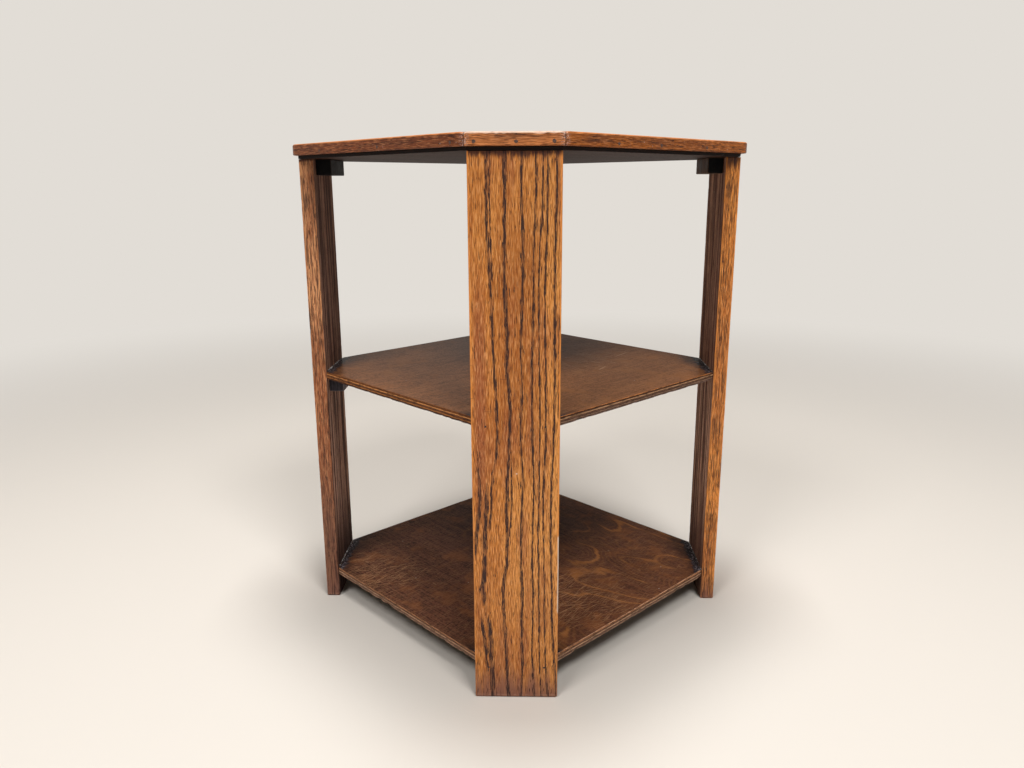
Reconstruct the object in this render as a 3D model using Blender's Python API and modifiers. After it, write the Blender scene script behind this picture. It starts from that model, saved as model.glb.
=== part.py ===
"""Book table: a cut-corner top on four diagonal slab legs, with two plywood shelves between them.

Units are metres and +Z is up. The origin is on the floor under the middle of the table, and the sides of the
top run along X and Y. The front leg stands at +X -Y. Everything at a corner is placed in that corner's own
frame, whose +X axis points out along the diagonal.
"""

import math

import bmesh
import bpy

# Overall sizes
TABLE_HEIGHT = 0.610
TOP_SIDE = 0.460
TOP_CUT = 0.097

# Top panel and the oak lipping round its edge
PANEL_THICKNESS = 0.017
LIPPING_HEIGHT = 0.013
LIPPING_THICKNESS = 0.006
LIPPING_ARRIS = 0.0012

# Slab legs
LEG_WIDTH = 0.092
LEG_THICKNESS = 0.018
LEG_ARRIS = 0.0015

# Plywood shelves: the heights are those of their upper faces
SHELF_THICKNESS = 0.0095
MIDDLE_SHELF_TOP = 0.324
BOTTOM_SHELF_TOP = 0.043
SHELF_SETBACK = 0.0005
SHELF_ARRIS = 0.0006

# Square glue blocks in the angles between the legs and the boards they carry
BLOCK_SECTION = 0.019
BLOCK_LENGTH = 0.070
BLOCK_ARRIS = 0.0008
SHELF_BLOCKS = (("middle", "left"),)

# Panel pins through the legs into the shelf edges, punched below the surface
PIN_DIAMETER = 0.0018
PIN_HEAD_DIAMETER = 0.0030
PIN_HEAD_THICKNESS = 0.0010
PIN_POINT_LENGTH = 0.0030
PIN_SINK = 0.0015
PIN_BITE = 0.020
PIN_EDGE_DISTANCE = 0.015
PIN_SIDES = 8

# Countersunk slotted screws through the top blocks into the panel
SCREW_DIAMETER = 0.0035
SCREW_HEAD_DIAMETER = 0.0068
SCREW_POINT_LENGTH = 0.0050
SCREW_COVER = 0.0070
SCREW_END_DISTANCE = 0.015
SCREW_SLOT_WIDTH = 0.0010
SCREW_SLOT_DEPTH = 0.0009
SCREW_SIDES = 12

# Gap left between neighbouring pieces, and how far a cutter stands out of what it cuts
JOINT_GAP = 0.0003
CUTTER_OVERSHOOT = 0.0020
ARRIS_SEGMENTS = 3
WELD_DISTANCE = 0.000001

# Direction of each corner and each side of the table, in degrees round from +X
CORNERS = {"front": -45, "right": 45, "back": 135, "left": 225}
SIDES = {"front_right": 0, "back_right": 90, "back_left": 180, "front_left": 270}

# Places worked out from the sizes: planes are distances from the middle, along a side or a diagonal
top_half_side = TOP_SIDE / 2
top_cut_plane = TOP_SIDE / math.sqrt(2) - TOP_CUT / 2
panel_inset = LIPPING_THICKNESS + JOINT_GAP
panel_bottom = TABLE_HEIGHT - PANEL_THICKNESS
leg_outer = top_cut_plane - panel_inset
leg_inner = leg_outer - LEG_THICKNESS
leg_height = panel_bottom - JOINT_GAP
shelf_cut = LEG_WIDTH - 2 * SHELF_SETBACK
shelf_cut_plane = leg_inner - JOINT_GAP
shelf_half_side = (shelf_cut_plane + shelf_cut / 2) / math.sqrt(2)
block_outer = leg_inner - JOINT_GAP
block_middle = block_outer - BLOCK_SECTION / 2
top_block_bottom = panel_bottom - JOINT_GAP - BLOCK_SECTION
SHELVES = {"middle": MIDDLE_SHELF_TOP - SHELF_THICKNESS, "bottom": BOTTOM_SHELF_TOP - SHELF_THICKNESS}


def clear_scene():
    """Start from an empty scene."""
    for thing in list(bpy.data.objects):
        bpy.data.objects.remove(thing, do_unlink=True)


def new_collection(name):
    """A collection linked to the scene."""
    collection = bpy.data.collections.new(name)
    bpy.context.scene.collection.children.link(collection)
    return collection


def new_material(name, colour, roughness, metallic=0.0):
    """A Principled BSDF finish."""
    material = bpy.data.materials.new(name)
    material.use_nodes = True
    shader = material.node_tree.nodes["Principled BSDF"]
    shader.inputs["Base Color"].default_value = (*colour, 1.0)
    shader.inputs["Roughness"].default_value = roughness
    shader.inputs["Metallic"].default_value = metallic
    return material


def place(name, mesh, material, collection, frame, location=(0, 0, 0), rotation=(0, 0, 0)):
    """A named piece in one of the table's frames, with its own copy of the mesh and its material."""
    piece = bpy.data.objects.new(name, mesh.copy())
    piece.data.name = name
    piece.data.materials.clear()
    piece.data.materials.append(material)
    piece.parent = frame
    piece.location = location
    piece.rotation_euler = rotation
    collection.objects.link(piece)
    return piece


def place_cutter(name, mesh, collection, frame, location=(0, 0, 0), rotation=(0, 0, 0)):
    """A shape to be cut out of other pieces, which isn't a piece itself."""
    cutter = bpy.data.objects.new(name, mesh)
    cutter.parent = frame
    cutter.location = location
    cutter.rotation_euler = rotation
    cutter.hide_render = True
    cutter.display_type = "WIRE"
    collection.objects.link(cutter)
    return cutter


def cut(piece, cutter):
    """Take the cutter's shape out of the piece."""
    modifier = piece.modifiers.new("cut_" + cutter.name, "BOOLEAN")
    modifier.operation = "DIFFERENCE"
    modifier.solver = "EXACT"
    modifier.object = cutter


def bake(thing):
    """The evaluated mesh of an object that was only a step on the way, with loose seams welded."""
    bpy.context.scene.collection.objects.link(thing)
    bpy.context.view_layer.update()
    evaluated = thing.evaluated_get(bpy.context.evaluated_depsgraph_get())
    mesh = bpy.data.meshes.new_from_object(evaluated)
    bpy.data.objects.remove(thing, do_unlink=True)
    shape = bmesh.new()
    shape.from_mesh(mesh)
    bmesh.ops.remove_doubles(shape, verts=shape.verts, dist=WELD_DISTANCE)
    bmesh.ops.dissolve_limit(shape, angle_limit=math.radians(0.1), verts=shape.verts, edges=shape.edges)
    bmesh.ops.recalc_face_normals(shape, faces=shape.faces)
    shape.to_mesh(mesh)
    shape.free()
    return mesh


def round_edges(mesh, radius, chosen):
    """Round the edges of a mesh for which chosen(edge) is true."""
    shape = bmesh.new()
    shape.from_mesh(mesh)
    edges = [edge for edge in shape.edges if chosen(edge)]
    bmesh.ops.bevel(
        shape, geom=edges, offset=radius, offset_type="OFFSET", affect="EDGES",
        segments=ARRIS_SEGMENTS, profile=0.5, clamp_overlap=True,
    )
    shape.to_mesh(mesh)
    shape.free()


def box_mesh(name, low, high):
    """A box from its lowest to its highest corner."""
    shape = bmesh.new()
    bmesh.ops.create_cube(shape, size=1.0)
    size = [top - bottom for bottom, top in zip(low, high)]
    middle = [(top + bottom) / 2 for bottom, top in zip(low, high)]
    bmesh.ops.scale(shape, vec=size, verts=shape.verts)
    bmesh.ops.translate(shape, vec=middle, verts=shape.verts)
    mesh = bpy.data.meshes.new(name)
    shape.to_mesh(mesh)
    shape.free()
    return mesh


def board_mesh(name, outline, thickness):
    """A flat board with the given outline and its underside at z = 0."""
    curve = bpy.data.curves.new(name, "CURVE")
    curve.dimensions = "2D"
    curve.fill_mode = "BOTH"
    curve.extrude = thickness / 2
    spline = curve.splines.new("POLY")
    spline.points.add(len(outline) - 1)
    for point, (x, y) in zip(spline.points, outline):
        point.co = (x, y, 0, 1)
    spline.use_cyclic_u = True
    mesh = bake(bpy.data.objects.new(name, curve))
    for vertex in mesh.vertices:
        vertex.co.z += thickness / 2
    return mesh


def turned_mesh(name, profile, sides):
    """A turned shape about Z, from a profile of (radius, z) points that runs down from the axis to the axis."""
    mesh = bpy.data.meshes.new(name)
    points = [(radius, 0, z) for radius, z in profile]
    mesh.from_pydata(points, [(i, i + 1) for i in range(len(points) - 1)], [])
    turning = bpy.data.objects.new(name, mesh)
    modifier = turning.modifiers.new("turn", "SCREW")
    modifier.steps = sides
    modifier.render_steps = sides
    modifier.use_merge_vertices = True
    modifier.merge_threshold = WELD_DISTANCE
    return bake(turning)


def cut_corner_outline(half_side, cut_plane):
    """A square with its corners cut off square to the diagonals, counter-clockwise."""
    reach = cut_plane * math.sqrt(2) - half_side
    quarter = [(half_side, -reach), (half_side, reach)]
    outline = []
    for _ in range(4):
        outline.extend(quarter)
        quarter = [(-y, x) for x, y in quarter]
    return outline


def lipping_mesh(name, outer_plane, outer_length):
    """A strip of lipping that faces +X, mitred at both ends and rounded along its two outer arrises."""
    mitre = math.tan(math.radians(22.5))
    end_gap = JOINT_GAP / 2 / math.cos(math.radians(22.5))
    outer_half = outer_length / 2 - end_gap
    inner_half = outer_half - LIPPING_THICKNESS * mitre
    inner_plane = outer_plane - LIPPING_THICKNESS
    outline = [
        (outer_plane, -outer_half), (outer_plane, outer_half),
        (inner_plane, inner_half), (inner_plane, -inner_half),
    ]
    mesh = board_mesh(name, outline, LIPPING_HEIGHT)

    def outer_arris(edge):
        first, second = (vertex.co for vertex in edge.verts)
        level = abs(first.z - second.z) < WELD_DISTANCE
        return level and min(first.x, second.x) > outer_plane - WELD_DISTANCE

    round_edges(mesh, LIPPING_ARRIS, outer_arris)
    return mesh


def leg_mesh():
    """A slab leg in its corner's frame, with its long arrises and its foot rounded."""
    low = (leg_inner, -LEG_WIDTH / 2, 0)
    high = (leg_outer, LEG_WIDTH / 2, leg_height)
    mesh = box_mesh("leg", low, high)

    def below_the_top(edge):
        return min(vertex.co.z for vertex in edge.verts) < leg_height / 2

    round_edges(mesh, LEG_ARRIS, below_the_top)
    return mesh


def shelf_mesh():
    """A plywood shelf whose cut corners butt on the legs, with the arrises of both faces eased."""
    mesh = board_mesh("shelf", cut_corner_outline(shelf_half_side, shelf_cut_plane), SHELF_THICKNESS)

    def level(edge):
        first, second = (vertex.co for vertex in edge.verts)
        return abs(first.z - second.z) < WELD_DISTANCE

    round_edges(mesh, SHELF_ARRIS, level)
    return mesh


def block_mesh():
    """A square glue block in its corner's frame, with its free long arris and its ends eased."""
    low = (block_outer - BLOCK_SECTION, -BLOCK_LENGTH / 2, 0)
    high = (block_outer, BLOCK_LENGTH / 2, BLOCK_SECTION)
    mesh = box_mesh("block", low, high)

    def free(edge):
        return min(vertex.co.z for vertex in edge.verts) < BLOCK_SECTION / 2

    round_edges(mesh, BLOCK_ARRIS, free)
    return mesh


def pin_profile(clearance, outside):
    """A panel pin pointing down from z = 0, swollen by a clearance and run out past its head."""
    length = leg_outer - PIN_SINK - (shelf_cut_plane - PIN_BITE)
    head = PIN_HEAD_DIAMETER / 2 + clearance
    shank = PIN_DIAMETER / 2 + clearance
    under_head = -PIN_HEAD_THICKNESS - clearance
    return [
        (0, outside), (head, outside), (head, under_head), (shank, under_head),
        (shank, PIN_POINT_LENGTH - length), (0, -length - clearance),
    ]


def screw_profile(clearance, outside):
    """A countersunk screw pointing down from z = 0, swollen by a clearance and run out past its head."""
    length = BLOCK_SECTION + JOINT_GAP + PANEL_THICKNESS - SCREW_COVER
    head = SCREW_HEAD_DIAMETER / 2 + clearance
    shank = SCREW_DIAMETER / 2 + clearance
    countersink = shank - head
    return [
        (0, outside), (head, outside), (head, -clearance), (shank, countersink - clearance),
        (shank, SCREW_POINT_LENGTH - length), (0, -length - clearance),
    ]


def screw_mesh():
    """A screw with a slot across its head."""
    screw = bpy.data.objects.new("screw", turned_mesh("screw_blank", screw_profile(0, 0), SCREW_SIDES))
    low = (-SCREW_HEAD_DIAMETER, -SCREW_SLOT_WIDTH / 2, -SCREW_SLOT_DEPTH)
    high = (SCREW_HEAD_DIAMETER, SCREW_SLOT_WIDTH / 2, CUTTER_OVERSHOOT)
    slot = place_cutter("screw_slot", box_mesh("screw_slot", low, high), cutters, None)
    cut(screw, slot)
    return bake(screw)


clear_scene()
parts = new_collection("book_table")
cutters = new_collection("book_table_cutters")

oak = new_material("leg_oak", (0.36, 0.15, 0.045), 0.42)
lipping_oak = new_material("lipping_oak", (0.27, 0.095, 0.032), 0.40)
plywood = new_material("stained_plywood", (0.085, 0.035, 0.018), 0.45)
block_wood = new_material("block_softwood", (0.030, 0.020, 0.014), 0.70)
pin_steel = new_material("pin_steel", (0.16, 0.15, 0.14), 0.45, 1.0)
screw_steel = new_material("screw_steel", (0.30, 0.29, 0.27), 0.40, 1.0)

table = bpy.data.objects.new("table", None)
parts.objects.link(table)


def turned_frame(name, degrees):
    """An empty at the middle of the table whose +X axis points out in one direction."""
    frame = bpy.data.objects.new(name, None)
    frame.parent = table
    frame.rotation_euler = (0, 0, math.radians(degrees))
    parts.objects.link(frame)
    return frame


corner_frames = {corner: turned_frame(corner + "_corner", turn) for corner, turn in CORNERS.items()}
side_frames = {side: turned_frame(side + "_side", turn) for side, turn in SIDES.items()}

# Top panel, flush with the lipping's upper edge
panel_outline = cut_corner_outline(top_half_side - panel_inset, leg_outer)
panel_shape = board_mesh("top_panel", panel_outline, PANEL_THICKNESS)
top_panel = place("top_panel", panel_shape, plywood, parts, table, (0, 0, panel_bottom))

# Lipping: a long strip on each side and a short one on each cut corner
lipping_bottom = TABLE_HEIGHT - LIPPING_HEIGHT
side_length = TOP_SIDE - math.sqrt(2) * TOP_CUT
side_strip = lipping_mesh("side_strip", top_half_side, side_length)
for side, frame in side_frames.items():
    place("lipping_" + side, side_strip, lipping_oak, parts, frame, (0, 0, lipping_bottom))
corner_strip = lipping_mesh("corner_strip", top_cut_plane, TOP_CUT)
for corner, frame in corner_frames.items():
    place("lipping_" + corner, corner_strip, lipping_oak, parts, frame, (0, 0, lipping_bottom))

# Legs and shelves
leg_shape = leg_mesh()
legs = {corner: place("leg_" + corner, leg_shape, oak, parts, frame) for corner, frame in corner_frames.items()}
shelf_shape = shelf_mesh()
shelves = {
    level: place(level + "_shelf", shelf_shape, plywood, parts, table, (0, 0, bottom))
    for level, bottom in SHELVES.items()
}

# Glue blocks: one against every leg under the top, and one more under the middle shelf at the left leg
block_shape = block_mesh()
top_blocks = {}
for corner, frame in corner_frames.items():
    name = "top_block_" + corner
    top_blocks[corner] = place(name, block_shape, block_wood, parts, frame, (0, 0, top_block_bottom))
for level, corner in SHELF_BLOCKS:
    block_bottom = SHELVES[level] - JOINT_GAP - BLOCK_SECTION
    place(f"{level}_block_{corner}", block_shape, block_wood, parts, corner_frames[corner], (0, 0, block_bottom))

# Pins: two through each leg into the edge of each shelf
pin_shape = turned_mesh("pin", pin_profile(0, 0), PIN_SIDES)
pin_hole = turned_mesh("pin_hole", pin_profile(JOINT_GAP, PIN_SINK + CUTTER_OVERSHOOT), PIN_SIDES)
pin_aside = LEG_WIDTH / 2 - PIN_EDGE_DISTANCE
inwards = (0, math.radians(90), 0)
for corner, frame in corner_frames.items():
    for level, shelf_bottom in SHELVES.items():
        for number, aside in enumerate((-pin_aside, pin_aside), start=1):
            name = f"{level}_pin_{corner}_{number}"
            location = (leg_outer - PIN_SINK, aside, shelf_bottom + SHELF_THICKNESS / 2)
            place(name, pin_shape, pin_steel, parts, frame, location, inwards)
            hole = place_cutter(name + "_hole", pin_hole, cutters, frame, location, inwards)
            cut(legs[corner], hole)
            cut(shelves[level], hole)

# Screws: two up through each top block into the panel
screw_shape = screw_mesh()
screw_hole = turned_mesh("screw_hole", screw_profile(JOINT_GAP, CUTTER_OVERSHOOT), SCREW_SIDES)
screw_aside = BLOCK_LENGTH / 2 - SCREW_END_DISTANCE
upwards = (math.radians(180), 0, 0)
for corner, frame in corner_frames.items():
    for number, aside in enumerate((-screw_aside, screw_aside), start=1):
        name = f"top_screw_{corner}_{number}"
        location = (block_middle, aside, top_block_bottom)
        place(name, screw_shape, screw_steel, parts, frame, location, upwards)
        hole = place_cutter(name + "_hole", screw_hole, cutters, frame, location, upwards)
        cut(top_blocks[corner], hole)
        cut(top_panel, hole)
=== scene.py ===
# %% [markdown]
# A book table, dressed for its picture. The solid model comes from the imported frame, in metres, with Z up
# and the front leg towards +X -Y. Every piece that shows is then made again as a finer surface in the same
# place, because a solid made for checking has clean flat faces, and an old table has worn arrises, dents
# and grain.

# %% Load the frame
import math
from collections import namedtuple

import bpy
import numpy as np
from mathutils import Matrix, Vector


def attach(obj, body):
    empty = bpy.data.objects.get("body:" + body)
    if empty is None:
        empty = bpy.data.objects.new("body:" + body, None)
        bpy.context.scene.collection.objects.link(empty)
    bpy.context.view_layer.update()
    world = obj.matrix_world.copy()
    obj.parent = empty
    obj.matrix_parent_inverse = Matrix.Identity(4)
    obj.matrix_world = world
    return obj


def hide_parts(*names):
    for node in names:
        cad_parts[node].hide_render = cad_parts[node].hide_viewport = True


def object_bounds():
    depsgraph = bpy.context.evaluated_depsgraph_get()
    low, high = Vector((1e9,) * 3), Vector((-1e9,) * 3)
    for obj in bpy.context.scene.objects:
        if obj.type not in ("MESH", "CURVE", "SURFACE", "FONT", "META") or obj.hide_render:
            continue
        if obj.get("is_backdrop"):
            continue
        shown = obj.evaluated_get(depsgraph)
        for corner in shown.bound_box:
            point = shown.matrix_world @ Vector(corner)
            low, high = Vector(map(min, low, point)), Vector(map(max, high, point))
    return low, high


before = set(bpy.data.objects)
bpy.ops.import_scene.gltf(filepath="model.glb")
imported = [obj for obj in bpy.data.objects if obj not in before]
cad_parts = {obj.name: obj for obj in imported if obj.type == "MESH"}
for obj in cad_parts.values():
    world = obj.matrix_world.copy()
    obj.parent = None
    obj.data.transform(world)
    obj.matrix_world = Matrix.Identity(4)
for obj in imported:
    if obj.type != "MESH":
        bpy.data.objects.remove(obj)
cad_low, cad_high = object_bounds()
print("frame:", len(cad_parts), "nodes, box", tuple(cad_low), tuple(cad_high))

# %% [markdown]
# All the measures come from the nodes, so nothing is typed twice. A leg stands across a corner of the
# table, so its box only makes sense after a turn that brings its outer face round to +X. The same turn
# works for the strips, the blocks and the pins, each with the angle of its own corner or side.

# %% Turn and measure
CORNER_ANGLE = {"front": -45, "right": 45, "back": 135, "left": 225}
SIDE_ANGLE = {"front_right": 0, "back_right": 90, "back_left": 180, "front_left": 270}
STRIP_ANGLE = {**CORNER_ANGLE, **SIDE_ANGLE}


def turn(degrees):
    """Rotation about Z as a matrix: its columns are the turned X, Y and Z axes."""
    c, s = math.cos(math.radians(degrees)), math.sin(math.radians(degrees))
    return np.array([[c, -s, 0.0], [s, c, 0.0], [0.0, 0.0, 1.0]])


def turned_box(node, degrees):
    """Lowest and highest corner of a node in the frame whose +X points out at that angle."""
    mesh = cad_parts[node].data
    flat = np.empty(len(mesh.vertices) * 3, np.float32)
    mesh.vertices.foreach_get("co", flat)
    points = flat.reshape(-1, 3).astype(float) @ turn(degrees)
    return points.min(0), points.max(0)


leg_low, leg_high = turned_box("leg_front", CORNER_ANGLE["front"])
leg_face, leg_top = leg_low[0], leg_high[2]
upper_bay = turned_box("middle_shelf", 0)[1][2]
print("a leg is", np.round((leg_high - leg_low) * 1000, 1), "mm, thick by wide by high")

# %% [markdown]
# Every piece here is a skin of closed rings: a leg is a rounded rectangle carried upwards, a shelf is its
# own outline carried from the middle of the underside, round the edge, to the middle of the top. One
# function turns such a grid of points into a mesh, with a point in the middle of the first and last ring to
# close the ends. Blender's own cube and bevel would be quicker, but a grid lets wear change along an edge.

# %% Rings to mesh
SHARP_ANGLE = math.radians(34)


def ring_faces(count, around):
    """Point numbers of a grid of closed rings, the next point round each ring, and the quads between rings:
    point j of ring i joins j + 1 and ring i + 1."""
    here = np.arange(count * around).reshape(count, around)
    beside = np.roll(here, -1, 1)
    return here, beside, np.stack([here[:-1], beside[:-1], beside[1:], here[1:]], -1).reshape(-1, 4)


def new_object(name, points, faces):
    """A smooth-shaded mesh at the origin, put into the scene."""
    mesh = bpy.data.meshes.new(name)
    mesh.from_pydata(points.tolist(), [], faces)
    mesh.shade_smooth()
    made = bpy.data.objects.new(name, mesh)
    bpy.context.scene.collection.objects.link(made)
    return made


def ring_skin(name, rings, marks):
    """Closed mesh over rings[copy, ring, point]; the mean of the first and of the last ring closes each end.
    marks holds numbers per point, kept as attributes."""
    copies, count, around, _ = rings.shape
    points = np.concatenate([rings.reshape(copies, -1, 3), rings[:, [0, -1]].mean(2)], 1)
    here, beside, quads = ring_faces(count, around)
    first = np.stack([np.full(around, count * around), beside[0], here[0]], -1)
    last = np.stack([np.full(around, count * around + 1), here[-1], beside[-1]], -1)
    shift = np.arange(copies)[:, None, None] * points.shape[1]
    quads = (quads + shift).reshape(-1, 4)
    caps = (np.concatenate([first, last]) + shift).reshape(-1, 3)
    piece = new_object(name, points.reshape(-1, 3), quads.tolist() + caps.tolist())
    for label, values in marks.items():
        values = np.broadcast_to(values, (copies, count, around))
        whole = np.concatenate([values.reshape(copies, -1), values[:, [0, -1]].mean(2)], 1)
        layer = piece.data.attributes.new(label, "FLOAT", "POINT")
        layer.data.foreach_set("value", whole.ravel().astype(np.float32))
    piece.data.set_sharp_from_angle(angle=SHARP_ANGLE)
    return piece


def fit_piece(piece, material, slot, *nodes):
    """Gives a piece its finish, fastens it to the table and hides the nodes that it stands for."""
    piece.data.materials.append(material)
    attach(piece, "root")
    if nodes:
        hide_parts(*nodes)
    print(piece.name, "has", len(piece.data.polygons), "faces")


# %% [markdown]
# Wear has to look random and still come out the same every time, so each random curve has its own seed. A
# smooth curve is made from random knots that are joined by half cosine waves, which have no kinks.

# %% Random curves
def wander(places, wavelength, seed):
    """Smooth random curve from -1 to 1: knots one wavelength apart, joined by half cosine waves."""
    knots = np.random.default_rng(seed).uniform(-1, 1, int(np.ptp(places) / wavelength) + 3)
    steps = (places - places.min()) / wavelength
    left = steps.astype(int)
    share = (1 - np.cos(np.pi * (steps - left))) / 2
    return knots[left] * (1 - share) + knots[left + 1] * share


def bumps(places, count, widths, seed):
    """Sum of bell curves at random places, each from 0.3 to 1 high and between the two widths wide."""
    rng = np.random.default_rng(seed)
    middles = rng.uniform(places.min(), places.max(), count)
    spreads = rng.uniform(*widths, count)
    heights = rng.uniform(0.3, 1.0, count)
    return (heights * np.exp(-(((places[:, None] - middles) / spreads) ** 2))).sum(1)


print("a random curve:", np.round(wander(np.linspace(0, 1, 6), 0.3, 1), 2))

# %% [markdown]
# Legs, strips and blocks are all bars: a rectangle with rounded arrises, carried along a straight line. The
# rounding is a number per arris and per place, so it can swell where hands and brooms have rubbed. Close
# steps lie beside each arris, which keeps the broad faces flat when the mesh is shaded smooth.

# %% Bars
ARC_STEPS = np.linspace(0, math.pi / 2, 6)
END_STEPS = np.linspace(0, math.pi / 2, 5)[:-1]
BESIDE_ARRIS = np.array([0.0005, 0.0013, 0.0028])
ARRIS_REACH = 0.0008
SWELL, SWELL_LENGTH = 0.22, 0.040
DENT_DEPTH, DENT_WIDTHS = 0.7, (0.0012, 0.0035)


def flat_steps(length, spacing):
    """Shares of a flat's length: three close steps beside each end and even ones between."""
    close = BESIDE_ARRIS / length
    middle = np.linspace(close[-1], 1 - close[-1], max(3, int(length / spacing)))[1:-1]
    return np.concatenate([close, middle, 1 - close[::-1]])


def rounded_rings(half_a, half_b, rounding, spacing):
    """Rounded rectangles, one per row: quarter circles of the row's four radii, joined by flats. The second
    result is 1 on the arrises and dies away with the distance from them."""
    arcs = []
    for quarter, (a, b) in enumerate([(1, 1), (-1, 1), (-1, -1), (1, -1)]):
        radius = rounding[:, quarter, None]
        angle = ARC_STEPS + quarter * math.pi / 2
        arc_a = a * (half_a[:, None] - radius) + radius * np.cos(angle)
        arc_b = b * (half_b[:, None] - radius) + radius * np.sin(angle)
        arcs.append(np.stack([arc_a, arc_b], -1))
    parts, marks = [], []
    for quarter in range(4):
        start, end = arcs[quarter][:, -1:], arcs[(quarter + 1) % 4][:, :1]
        length = 2 * (half_a if quarter % 2 == 0 else half_b).max()
        steps = flat_steps(length, spacing)
        parts += [arcs[quarter], start + (end - start) * steps[None, :, None]]
        nearest = np.minimum(steps, 1 - steps) * length
        marks += [np.ones(len(ARC_STEPS)), np.exp(-nearest / ARRIS_REACH)]
    return np.concatenate(parts, 1), np.concatenate(marks)


def stations(low, high, round_low, round_high, spacing):
    """Places along a bar, and how far its outline draws in there: a quarter circle at each end."""
    middle = np.linspace(low + round_low, high - round_high, max(3, int((high - low) / spacing)))
    rise, draw = 1 - np.cos(END_STEPS), 1 - np.sin(END_STEPS)
    places = [low + round_low * rise, middle, high - round_high * rise[::-1]]
    insets = [round_low * draw, middle * 0, round_high * draw[::-1]]
    return np.concatenate(places), np.concatenate(insets)


def worn_rounding(places, radius, dents, seed):
    """Radius of the four arrises at each place: the planed radius with a slow swell and a few dents."""
    curves = []
    for arris in range(4):
        swell = SWELL * wander(places, SWELL_LENGTH, seed * 10 + arris)
        dented = DENT_DEPTH * bumps(places, dents, DENT_WIDTHS, seed * 10 + arris + 5)
        curves.append(radius * (1 + swell + dented))
    return np.stack(curves, 1)


print("bars have", 4 * len(ARC_STEPS), "points on their arrises")

# %% [markdown]
# Materials are node trees, and the same few nodes come back in all of them. These helpers add one node each
# and hand back its output, so that a finish below reads like a recipe. Here are the ones that work on plain
# numbers, which serve as masks.

# %% Values
def feed(tree, socket, value):
    """Links another node's output to a socket, or types a plain value into it."""
    if isinstance(value, bpy.types.NodeSocket):
        tree.links.new(value, socket)
    else:
        socket.default_value = value


def maths(tree, operation, *values):
    """One Math node."""
    made = tree.nodes.new("ShaderNodeMath")
    made.operation = operation
    for socket, value in zip(made.inputs, values):
        feed(tree, socket, value)
    return made.outputs[0]


def times(tree, first, second):
    """Product of two values."""
    return maths(tree, "MULTIPLY", first, second)


def times_plus(tree, value, factor, added):
    """A value times a factor, plus another value."""
    return maths(tree, "MULTIPLY_ADD", value, factor, added)


def minus(tree, first, second):
    """The first value less the second."""
    return maths(tree, "SUBTRACT", first, second)


def larger(tree, first, second):
    """The larger of two values."""
    return maths(tree, "MAXIMUM", first, second)


def distance(tree, value, middle):
    """How far a value is from the middle, on either side."""
    return maths(tree, "ABSOLUTE", minus(tree, value, middle))


def weighted(tree, *parts):
    """Sum of values times their weights."""
    total = 0.0
    for value, weight in parts:
        total = times_plus(tree, value, weight, total)
    return total


def fade(tree, value, low, high, start=0.0, end=1.0):
    """Smooth step from start to end while the value goes from low to high."""
    made = tree.nodes.new("ShaderNodeMapRange")
    made.interpolation_type = "SMOOTHSTEP"
    for socket, given in zip(made.inputs, (value, low, high, start, end)):
        feed(tree, socket, given)
    return made.outputs[0]


print("helpers for values ready")

# %% [markdown]
# Colours are written as they look on a screen, from 0 to 255, and changed to the linear values that the
# renderer works with. A finish is then laid on as a painter does it: a ground, and thin layers over it, each
# with a mask that says where and a weight that says how thick.

# %% Colours
def paint(red, green, blue):
    """Screen colour to a linear one: the usual curve, with a straight foot near black."""
    screen = np.array([red, green, blue]) / 255
    linear = np.where(screen <= 0.04045, screen / 12.92, ((screen + 0.055) / 1.055) ** 2.4)
    return (*linear.tolist(), 1.0)


def paints(*colours):
    """Several screen colours at once."""
    return [paint(*colour) for colour in colours]


def mix(tree, share, first, second):
    """A share of the second colour over the first."""
    made = tree.nodes.new("ShaderNodeMix")
    made.data_type = "RGBA"
    for number, value in ((0, share), (6, first), (7, second)):
        feed(tree, made.inputs[number], value)
    return made.outputs[2]


def tint(tree, colour, over, mask, weight):
    """One colour laid over another where the mask is 1, as thick as the weight."""
    return mix(tree, times(tree, mask, weight), colour, over)


def ramp(tree, value, stops, blend="LINEAR"):
    """Colours at places from 0 to 1, blended between."""
    made = tree.nodes.new("ShaderNodeValToRGB")
    made.color_ramp.interpolation = blend
    feed(tree, made.inputs[0], value)
    elements = made.color_ramp.elements
    elements[0].position, elements[0].color = stops[0]
    elements[1].position, elements[1].color = stops[-1]
    for place, colour in stops[1:-1]:
        elements.new(place).color = colour
    return made.outputs[0]


print("half way up the screen's scale is", round(paint(128, 128, 128)[0], 3), "of full light")

# %% [markdown]
# Patterns need a place to start from. The place on the table, in metres, is what Blender calls Object
# coordinates, since every piece sits at the origin. A Mapping node turns it to a board's own axes, so that
# the grain runs along the board. Unwrapped UVs would do for flat faces, but they are cut at every arris.

# %% Places
def own_place(tree):
    """The place on the table, in metres."""
    return tree.nodes.new("ShaderNodeTexCoord").outputs["Object"]


def board_vector(tree, across, through, along, start):
    """The place turned to a board's own axes: across its face, through its thickness, along its grain, all
    from the start point."""
    axes = Matrix((across, through, along))
    made = tree.nodes.new("ShaderNodeMapping")
    made.inputs["Rotation"].default_value = axes.to_euler()
    made.inputs["Location"].default_value = -(axes @ Vector(start))
    feed(tree, made.inputs["Vector"], own_place(tree))
    return made.outputs[0]


def slanted(tree, vector, degrees):
    """A board's vector turned in the plane of its face, which is about its second axis."""
    made = tree.nodes.new("ShaderNodeMapping")
    made.inputs["Rotation"].default_value = (0.0, math.radians(degrees), 0.0)
    feed(tree, made.inputs["Vector"], vector)
    return made.outputs[0]


def split(tree, vector):
    """The three numbers of a vector."""
    made = tree.nodes.new("ShaderNodeSeparateXYZ")
    feed(tree, made.inputs[0], vector)
    return made.outputs


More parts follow.
